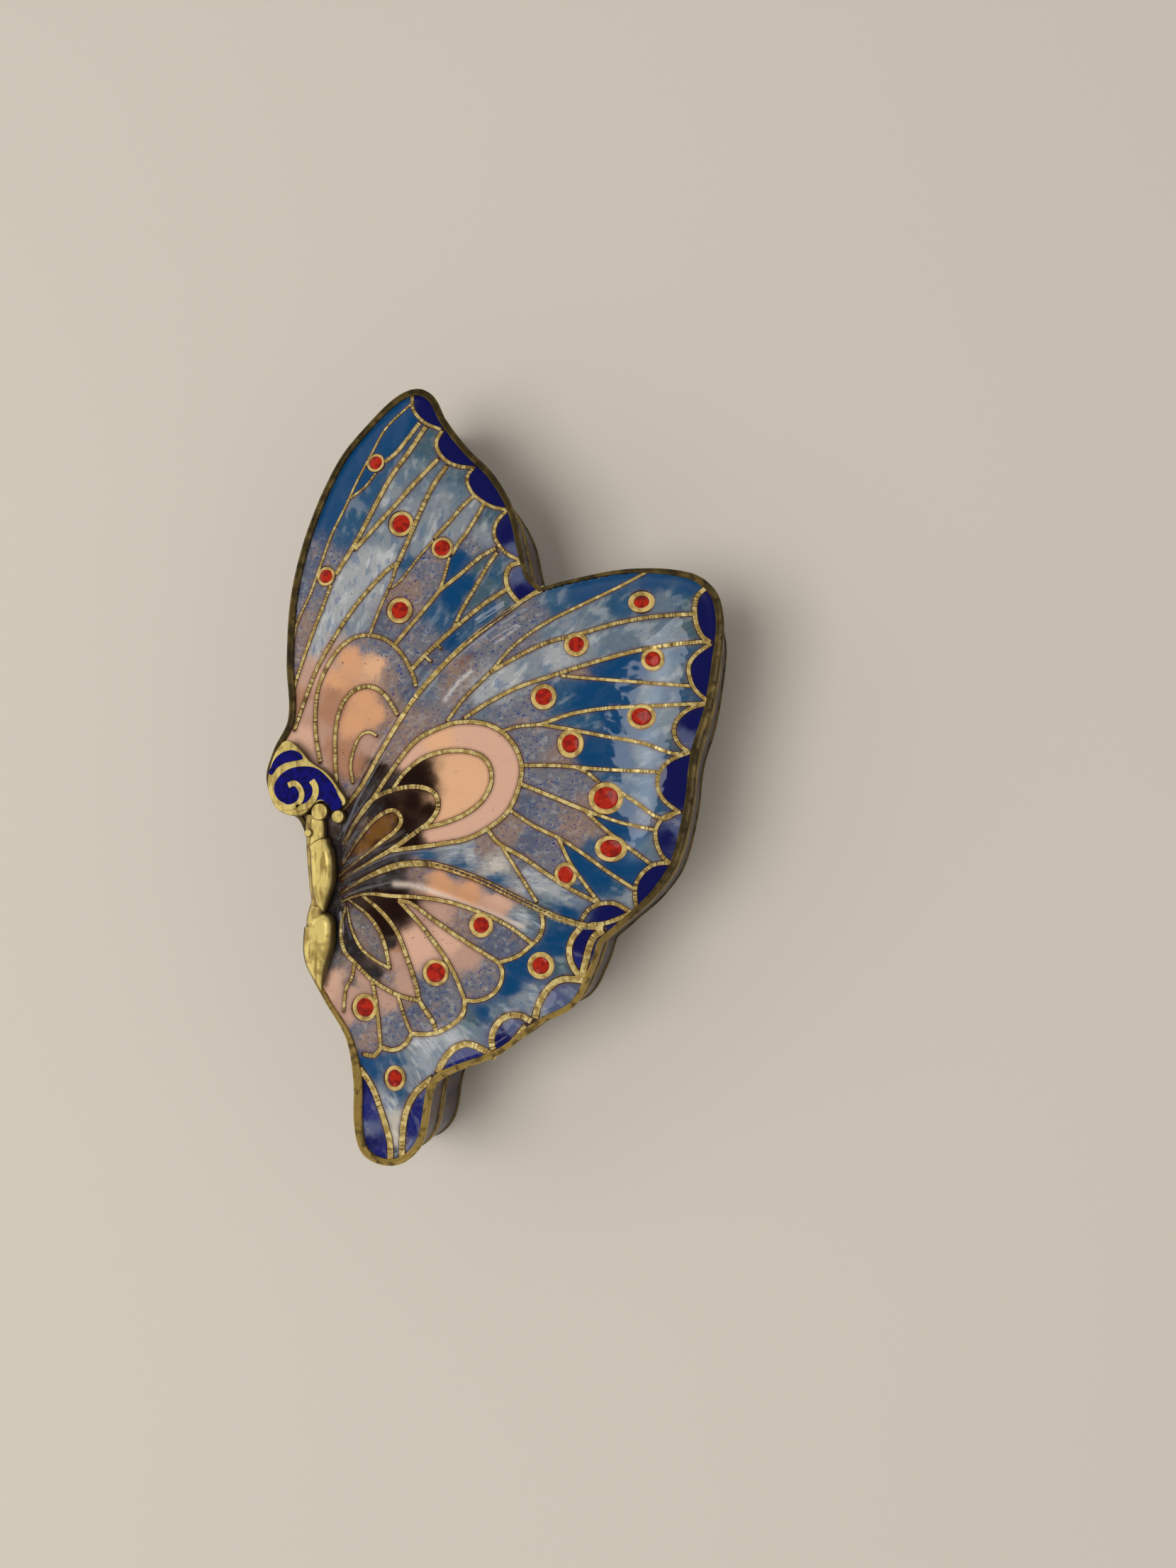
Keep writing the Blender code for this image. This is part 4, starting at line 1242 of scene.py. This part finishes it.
def gloss_material(name, light, dark, gloss, burnt=0.0):
    """A small enamel field of one colour, a little uneven, and burnt brown where it falls off."""
    material, tree, shader = new_material(
        name, Roughness=0.5, Specular_IOR_Level=0.1, Coat_Weight=gloss, Coat_Roughness=0.08)
    place = places_of(tree)
    colour = specks(tree, place, seen(*light), dark, 1500, 4, 0.56, 0.40, 1.0)["Color"]
    colour = mixed(tree, steepness(tree, 0.985, 0.90, burnt), colour, seen(48, 16, 10))
    tree.links.new(colour, shader["Base Color"])
    tree.links.new(swelling(tree, place, 900, 0.25, 0.15 * MM)["Normal"], shader["Normal"])
    return material


def floor_material(name):
    """The plain floor, with the faintest unevenness."""
    material, tree, shader = new_material(name, Roughness=0.8)
    paler = (*(min(1.0, part * 1.04) for part in colours().floor), 1)
    clouds = noise_value(tree, places_of(tree), 9, 2)
    tree.links.new(mixed(tree, clouds, (*colours().floor, 1), paler), shader["Base Color"])
    return material


# Each finish, as its maker and the maker's values
FINISHES = {
    "cloisonne enamel": (enamel_material,),
    "counter enamel": (counter_enamel_material,),
    "wall enamel": (wall_material,),
    "red enamel": (gloss_material, (172, 38, 20), (128, 26, 20), 0.35, 0.9),
    "cobalt enamel": (gloss_material, (12, 10, 104), (6, 5, 70), 1.0),
    "wire brass": (wire_material,),
    "ring brass": (brass_material, (226, 194, 118), (150, 116, 56), 0.2, (900, 900, 900), 0.34, 0.35),
    "rim brass": (rim_material,),
    "seam brass": (brass_material, (158, 130, 64), (66, 50, 22), 0.3, (400, 400, 900), 0.36, 0.55),
    # The last value of the two body brasses is how much painted shade darkens their steep sides
    "body brass": (brass_material, (242, 216, 128), (146, 114, 52), 0.25, (1300, 260, 500), 0.30, 0.40,
                   0.92),
    "side brass": (brass_material, (202, 174, 102), (120, 94, 48), 0.25, (1300, 300, 500), 0.32, 0.5,
                   0.6),
    "dark brass": (brass_material, (112, 92, 44), (44, 34, 16), 0.3, (600, 300, 900), 0.4, 0.6),
    "plain floor": (floor_material,),
}


def finish(name):
    maker, *values = FINISHES[name]
    return bpy.data.materials.get(name) or maker(name, *values)


class TrinketBoxSizes(bpy.types.PropertyGroup):
    """Sizes of the finer pieces."""

    grain: bpy.props.FloatProperty(
        name="Enamel grain", description="Spacing of the points of the enamel surfaces",
        default=0.2 * MM, min=0.1 * MM, unit="LENGTH")
    wire_share: bpy.props.FloatProperty(
        name="Wire share", description="Width of the wires as a share of their drawn width", default=0.9,
        min=0.5, max=1.5, subtype="FACTOR")
    wire_rise: bpy.props.FloatProperty(
        name="Wire rise", description="Height of the wires over the enamel", default=0.07 * MM,
        unit="LENGTH")
    ring_rise: bpy.props.FloatProperty(
        name="Ring rise", description="Height of the rings over the enamel", default=0.10 * MM,
        unit="LENGTH")
    dot_rise: bpy.props.FloatProperty(
        name="Dot rise", description="Height of the red dots over the enamel", default=0.10 * MM,
        unit="LENGTH")


class TrinketBoxColours(bpy.types.PropertyGroup):
    """Colours that a user would change."""

    floor: bpy.props.FloatVectorProperty(
        name="Floor", description="Colour of the plain floor", default=seen_colour(205, 196, 184),
        size=3, subtype="COLOR", min=0, max=1)


def sizes():
    return bpy.context.scene.trinket_box_sizes


def colours():
    return bpy.context.scene.trinket_box_colours


class TRINKETBOX_OT_base(bpy.types.Operator):
    """Base: enamelled floor and walls, brass rim with its lip, and the brass foot edge."""

    bl_idname = "trinket_box.base"
    bl_label = "Base"

    def execute(self, context):
        shell = loop_object("base_walls", inset(EDGE, WALL_SETBACK), BASE_LOW, "NGON")
        edit_all(shell)
        bpy.ops.mesh.extrude_region_move(TRANSFORM_OT_translate={"value": (0, 0, BASE_RIM_LOW - BASE_LOW)})
        bpy.ops.mesh.inset(thickness=WALL, use_even_offset=True)
        bpy.ops.mesh.extrude_region_move(TRANSFORM_OT_translate={"value": (0, 0, FLOOR - BASE_RIM_LOW)})
        bpy.ops.object.mode_set(mode="OBJECT")
        face_outwards(shell)
        finish_piece(shell, "wall enamel", ("base_shell",), 50)
        shell.data.materials.append(finish("counter enamel"))
        for face in shell.data.polygons:
            outside = abs(face.normal.z) < 0.5 and DEPTH.at([face.center[:2]])[0] < WALL_SETBACK + WALL / 2
            face.material_index = 0 if outside else 1

        rim = band("base_rim_band", WALL_SETBACK - RIM_OVERHANG, BASE_RIM_LOW, BASE_RIM_HIGH,
                   LIP_SETBACK + LIP - WALL_SETBACK + RIM_OVERHANG, RIM_BEVEL)
        lip = band("base_lip", LIP_SETBACK, BASE_RIM_HIGH - LIP_OVERLAP, LIP_HIGH, LIP, RIM_BEVEL)
        rim = merged("base_rim_brass", [rim, lip])
        face_outwards(rim)
        finish_piece(rim, "seam brass", ("base_rim",))
        foot = band("base_foot_edge", WALL_SETBACK - FOOT_OVERHANG, BASE_LOW, BASE_LOW + FOOT_HEIGHT,
                    FOOT_WIDTH, FOOT_BEVEL)
        finish_piece(foot, "dark brass")
        return {"FINISHED"}


class TRINKETBOX_OT_lid_walls(bpy.types.Operator):
    """Lid: enamelled walls, lower brass rim and the brass wire round the top."""

    bl_idname = "trinket_box.lid_walls"
    bl_label = "Lid walls and rims"

    def execute(self, context):
        wall = band("lid_walls", WALL_SETBACK, LID_RIM_HIGH, WIRE_LOW + WALL_OVERLAP, WALL, WALL_BEVEL)
        finish_piece(wall, "wall enamel", ("lid_shell",), 50)
        rim = band("lid_rim_brass", WALL_SETBACK - RIM_OVERHANG, LID_RIM_LOW, LID_RIM_HIGH,
                   WALL + RIM_OVERHANG, RIM_BEVEL)
        finish_piece(rim, "seam brass", ("lid_rim",))
        wire = band("edge_wire", WIRE_SETBACK, WIRE_LOW, WIRE_HIGH, EDGE_WIDTH.max(), WIRE_BEVEL,
                    EDGE_WIDTH)
        finish_piece(wire, "rim brass", ("lid_edge_wire",), 60)
        return {"FINISHED"}


def relief_sheet(name, keep, grain, dive=None):
    """A closed sheet that follows the lid's relief where keep is true, and dives at the forewing's edge."""
    spots = Map.LOW + np.argwhere(keep(*grid_points())) * Map.STEP
    low, high = spots.min(axis=0) - 2 * grain, spots.max(axis=0) + 2 * grain
    across, along = (int(round(size / grain)) for size in high - low)
    deselect()
    bpy.ops.mesh.primitive_grid_add(x_subdivisions=across, y_subdivisions=along, size=1)
    piece = bpy.context.object
    piece.name = name
    points = coordinates(piece)
    points[:, :2] = low + (points[:, :2] + 0.5) * (high - low)
    beyond = FOREWING.at(points)
    points[:, 2] = RELIEF.at(points)
    if dive:
        depth, start, reach = dive
        points[:, 2] -= depth * np.clip((beyond - start) / reach, 0, 1)
    set_coordinates(piece, points)
    outside = ~keep(points[:, :2], DEPTH.at(points), beyond)
    bpy.ops.object.mode_set(mode="EDIT")
    bpy.ops.mesh.select_mode(type="VERT")
    bpy.ops.mesh.select_all(action="DESELECT")
    bpy.ops.object.mode_set(mode="OBJECT")
    piece.data.vertices.foreach_set("select", outside)
    bpy.ops.object.mode_set(mode="EDIT")
    bpy.ops.mesh.delete(type="VERT")
    bpy.ops.object.mode_set(mode="OBJECT")
    thick = piece.modifiers.new("sheet", "SOLIDIFY")
    thick.thickness = SHEET
    thick.offset = -1
    apply_modifiers(piece)
    return piece


def grid_points():
    """(places, their depth inside the outline, and inside the forewing) on the maps' grid."""
    x, y = np.meshgrid(*(Map.LOW[k] + np.arange(Map.SHAPE[k]) * Map.STEP for k in (0, 1)), indexing="ij")
    return np.stack([x, y], axis=-1), DEPTH.values, FOREWING.values


def on_top(depth):
    """Whether places lie within the edge wire, from their depth inside the outline."""
    return depth > TOP_SETBACK - SHEET_UNDER_WIRE


# Where each sheet lies, from places, their depth inside the outline, and their depth inside the forewing
def on_upper_wing(points, depth, beyond):
    return on_top(depth) & (beyond < LOWER_OVERLAP) & (points[..., 1] > SPLIT)


def on_forewing(_points, depth, beyond):
    return on_top(depth) & (beyond > -FOREWING_OVERLAP)


def on_hindwing(points, depth, beyond):
    return on_top(depth) & (beyond < LOWER_OVERLAP) & (points[..., 1] < SPLIT + SPLIT_OVERLAP)


def under_lid(_points, depth, _beyond):
    return depth > WALL_SETBACK + WALL / 2


def ring_path(x, y, wide, tall, ring):
    """(half width, places) of a dot's ring, in metres."""
    turn = np.linspace(0, 2 * np.pi, RING_PLACES)
    across, along = (ring + np.array([wide, tall])) / 2
    half = (ring - (wide + tall) / 2) / 2
    return half * PIXEL, on_lid(np.column_stack([x + across * np.cos(turn), y + along * np.sin(turn)]))


class TRINKETBOX_OT_enamel(bpy.types.Operator):
    """Enamel of the three wings, painted cell by cell."""

    bl_idname = "trinket_box.enamel"
    bl_label = "Wing enamel"

    def execute(self, context):
        cells = Cells()
        paths = [(width * MM / 2, on_lid(path)) for width, path in WIRE_PATHS]
        paths += [ring_path(*dot) for dot in DOTS]
        wires = np.vstack([np.column_stack([line, np.full(len(line), half)]) for half, line in paths])
        regions = {"upper_wing_enamel": (on_upper_wing, LOWER_DIVE),
                   "forewing_enamel": (on_forewing, FOREWING_DIVE),
                   "hindwing_enamel": (on_hindwing, LOWER_DIVE)}
        for name, (keep, dive) in regions.items():
            piece = relief_sheet(name, keep, sizes().grain * (1), dive)
            points = coordinates(piece)
            pixels = pixels_of(points)
            paint, mottle, brushed = cells.paint(pixels)
            # The enamel colour takes the painted highlights and reflections over the cell paint
            paint = lay_painted_highlights(points[:, :2], paint)
            number, gap = nearest(points, wires)
            add_attribute(piece, "enamel", "FLOAT_COLOR", np.column_stack([paint, np.ones(len(paint))]))
            add_attribute(piece, "mottle", "FLOAT", mottle)
            add_attribute(piece, "brushed", "FLOAT", brushed)
            add_attribute(piece, "sweep", "FLOAT_VECTOR", swept(pixels))
            add_attribute(piece, "wire_distance", "FLOAT", gap - wires[number, 2])
            finish_piece(piece, "cloisonne enamel", ("lid_shell",), 70)
        return {"FINISHED"}


class TRINKETBOX_OT_lining(bpy.types.Operator):
    """Counter-enamelled lining under the lid's top."""

    bl_idname = "trinket_box.lining"
    bl_label = "Lid lining"

    def execute(self, context):
        piece = relief_sheet("lid_lining", under_lid, LINING_GRAIN)
        raise_piece(piece, -LINING_DROP)
        finish_piece(piece, "counter enamel", ("lid_shell",), 70)
        return {"FINISHED"}


class TRINKETBOX_OT_wires(bpy.types.Operator):
    """Brass wires between the enamels, laid on the lid."""

    bl_idname = "trinket_box.wires"
    bl_label = "Wires"

    def execute(self, context):
        groups = {"upper_wing_wires": UPPER_WIRES, "forewing_wires": FOREWING_WIRES + [LEADING_WIRE],
                  "hindwing_wires": HIND_WIRES + [TRAILING_WIRE]}
        for name, wires in groups.items():
            parts = []
            for number, (width, places) in enumerate(wires):
                route = smooth_path(places, False, 4.0)
                line = on_lid(route)
                taper = root_taper(route)
                part = flat_bar("wire", line, width * MM * sizes().wire_share,
                                sizes().wire_rise * (1 + width), taper)
                travelled = np.concatenate([[0], np.cumsum(np.linalg.norm(np.diff(line, axis=0), axis=1))])
                station = nearest(coordinates(part), line)[0]
                add_attribute(part, "along", "FLOAT", travelled[station])
                add_attribute(part, "shade", "FLOAT", (1 - taper[station]) / (1 - LEAST_TAPER))
                add_attribute(part, "wire", "FLOAT", np.full(len(station), number * WIRE_APART))
                lay_on_lid(part)
                parts.append(part)
            piece = merged(name, parts)
            face_outwards(piece)
            finish_piece(piece, "wire brass")
        return {"FINISHED"}


class TRINKETBOX_OT_dots(bpy.types.Operator):
    """Red enamel dots in brass rings."""

    bl_idname = "trinket_box.dots"
    bl_label = "Red dots"

    def execute(self, context):
        dots, rings = [], []
        for x, y, wide, tall, ring in DOTS:
            place = on_lid([(x, y)])[0]
            deselect()
            bpy.ops.mesh.primitive_uv_sphere_add(segments=32, ring_count=12, radius=1)
            dot = bpy.context.object
            dot.scale = (wide * PIXEL, tall * PIXEL, sizes().dot_rise)
            dot.location = (*place, 0)
            apply_place(dot)
            lay_on_lid(dot)
            dots.append(dot)
            inner = (wide + tall) / 2
            deselect()
            bpy.ops.mesh.primitive_torus_add(major_radius=(inner + ring) / 2 * PIXEL,
                                             minor_radius=(ring - inner) / 2 * PIXEL + RING_OVERLAP,
                                             major_segments=48, minor_segments=10)
            hoop = bpy.context.object
            hoop.scale = (wide / inner, tall / inner, RING_FLATNESS)
            hoop.location = (*place, sizes().ring_rise - RING_SINK)
            apply_place(hoop)
            lay_on_lid(hoop)
            rings.append(hoop)
        finish_piece(merged("red_dots", dots), "red enamel")
        finish_piece(merged("dot_rings", rings), "ring brass")
        return {"FINISHED"}


def plate_from(name, pixels, level, low, high):
    """A flat plate between two heights, its outline in pixels as it shows on a level."""
    loop = on_level(smooth_path(pixels, True, 2.0), level)
    turning = np.roll(loop, -1, axis=0)
    if (loop[:, 0] * turning[:, 1] - turning[:, 0] * loop[:, 1]).sum() > 0:
        loop = loop[::-1]
    piece = loop_object(name, loop, low, "NGON")
    extrude_up(piece, high - low)
    return piece


def spindle(name, stations, seat, height):
    """A tapering bar lying on a level, steep at its sides and almost flat above, up to a height."""
    middle = smooth_path(stations, False, 2.5)
    line = on_level(middle[:, :2], seat + SIGHT_SHARE * height)
    pixel = np.linalg.norm(on_level([(450, 1300)], seat)[0] - on_level([(451, 1300)], seat)[0])
    piece = curve_object(name, "3D", line, np.maximum(middle[:, 2], LEAST_HALF) * pixel)
    piece.data.bevel_depth = 1.0
    piece.data.bevel_resolution = 6
    piece = as_mesh(piece)
    points = coordinates(piece)
    over = height * np.tanh(points[:, 2] / height * STEEPNESS)
    points[:, 2] = seat + np.where(points[:, 2] > 0, over, points[:, 2] * UNDER_SHARE)
    set_coordinates(piece, points)
    face_outwards(piece)
    return piece


class TRINKETBOX_OT_head(bpy.types.Operator):
    """Head: brass plate with two blue enamel fields and two curls, and the beads beside it."""

    bl_idname = "trinket_box.head"
    bl_label = "Head and beads"

    def execute(self, context):
        plate = plate_from("head_brass", HEAD_OUTLINE, HEAD_HIGH, EDGE_LEVEL + HEAD_SINK,
                           HEAD_HIGH - HEAD_SINK)
        round_edges(plate, HEAD_BEVEL, 3)
        parts = [plate]
        for width, places in HEAD_CURLS:
            line = on_level(smooth_path(places, False, 2.0), HEAD_HIGH)
            parts.append(flat_bar("curl", line, width * MM, CURL_RISE))
            raise_piece(parts[-1], HEAD_HIGH)
        plate = merged("head_brass", parts)
        face_outwards(plate)
        finish_piece(plate, "body brass", ("head_plate",))
        fields = [plate_from("head_field", places, HEAD_HIGH, HEAD_HIGH - FIELD_DEPTH, HEAD_HIGH)
                  for places in (HEAD_CRESCENT, HEAD_FIELD)]
        finish_piece(merged("head_enamel", fields), "cobalt enamel")

        beads = []
        for x, y, radius in BEADS:
            top = BODY_SEAT + BEAD_RISE
            place = on_level([(x, y)], top)[0]
            pixel = np.linalg.norm(on_level([(x + 1, y)], top)[0] - place)
            deselect()
            bpy.ops.mesh.primitive_cylinder_add(vertices=40, radius=radius * pixel, depth=BEAD_RISE,
                                                location=(*place, BODY_SEAT + BEAD_RISE / 2))
            bead = bpy.context.object
            apply_place(bead)
            round_edges(bead, BEAD_BEVEL, 4)
            beads.append(bead)
        finish_piece(merged("beads", beads), "body brass",
                     ("bead_upper", "bead_right", "bead_left"), 70)
        return {"FINISHED"}


class TRINKETBOX_OT_body(bpy.types.Operator):
    """Body: neck, thorax and abdomen in brass, and the side beside them in a darker brass as painted shade.
    """

    bl_idname = "trinket_box.body"
    bl_label = "Body"

    def execute(self, context):
        for name, (stations, drop, height, look, nodes) in BODY.items():
            piece = spindle(name, stations, BODY_SEAT - drop * MM, height * MM)
            finish_piece(piece, look, nodes, 60)
        return {"FINISHED"}


class TRINKETBOX_OT_stage(bpy.types.Operator):
    """Floor, lights and camera."""

    bl_idname = "trinket_box.stage"
    bl_label = "Stage"

    def execute(self, context):
        deselect()
        bpy.ops.mesh.primitive_plane_add(size=FLOOR_SIZE, location=(0, 0, BASE_LOW))
        floor = bpy.context.object
        floor.name = "floor"
        floor.data.materials.append(finish("plain floor"))

        for name, (place, power, size, mirrored) in LIGHTS.items():
            data = bpy.data.lights.new(name, "AREA")
            data.energy = power
            data.size = size
            lamp = bpy.data.objects.new(name, data)
            lamp.location = place
            lamp.visible_glossy = mirrored
            lamp.rotation_mode = "QUATERNION"
            lamp.rotation_quaternion = (-Vector(place)).to_track_quat("-Z", "Y")
            bpy.context.scene.collection.objects.link(lamp)
        world = bpy.data.worlds.new("studio")
        world.use_nodes = True
        tree = world.node_tree
        direction = add_node(tree, "TexCoord", {}).outputs["Generated"]
        upwards = add_node(tree, "SeparateXYZ", {"Vector": direction}).outputs["Z"]
        fill_sockets(tree, tree.nodes["Background"],
                     {"Color": SKY, "Strength": ramp(tree, upwards, 0.5, 0.85, *SKY_STRENGTH)})
        bpy.context.scene.world = world
        bpy.context.scene.view_settings.view_transform = "Standard"

        camera_data = bpy.data.cameras.new("camera")
        camera_data.sensor_width = SENSOR
        camera_data.lens = FOCAL_PIXELS / PICTURE[1] * SENSOR
        camera_data.clip_start = 0.01
        camera = bpy.data.objects.new("camera", camera_data)
        camera.matrix_world = Matrix.Translation(Vector(LENS)) @ Matrix(AXES.tolist()).to_4x4()
        bpy.context.scene.collection.objects.link(camera)
        bpy.context.scene.camera = camera
        return {"FINISHED"}


class TRINKETBOX_PT_panel(bpy.types.Panel):
    """Buttons and sizes in the 3D view's sidebar."""

    bl_idname = "TRINKETBOX_PT_panel"
    bl_label = "Trinket Box"
    bl_space_type = "VIEW_3D"
    bl_region_type = "UI"
    bl_category = "Trinket Box"

    def draw(self, context):
        layout = self.layout
        for group in (context.scene.trinket_box_sizes, context.scene.trinket_box_colours):
            for name in group.__annotations__:
                layout.prop(group, name)
        for operator in OPERATORS:
            layout.operator(operator.bl_idname)


OPERATORS = (TRINKETBOX_OT_base, TRINKETBOX_OT_lid_walls, TRINKETBOX_OT_lining, TRINKETBOX_OT_enamel,
             TRINKETBOX_OT_wires, TRINKETBOX_OT_dots, TRINKETBOX_OT_head, TRINKETBOX_OT_body,
             TRINKETBOX_OT_stage)
CLASSES = (TrinketBoxSizes, TrinketBoxColours, *OPERATORS, TRINKETBOX_PT_panel)


def register():
    for made in CLASSES:
        bpy.utils.register_class(made)
    bpy.types.Scene.trinket_box_sizes = bpy.props.PointerProperty(type=TrinketBoxSizes)
    bpy.types.Scene.trinket_box_colours = bpy.props.PointerProperty(type=TrinketBoxColours)


def unregister():
    del bpy.types.Scene.trinket_box_colours
    del bpy.types.Scene.trinket_box_sizes
    for made in reversed(CLASSES):
        bpy.utils.unregister_class(made)


def main():
    register()
    for operator in OPERATORS:
        group, name = operator.bl_idname.split(".")
        getattr(getattr(bpy.ops, group), name)()


if __name__ == "__main__":
    main()
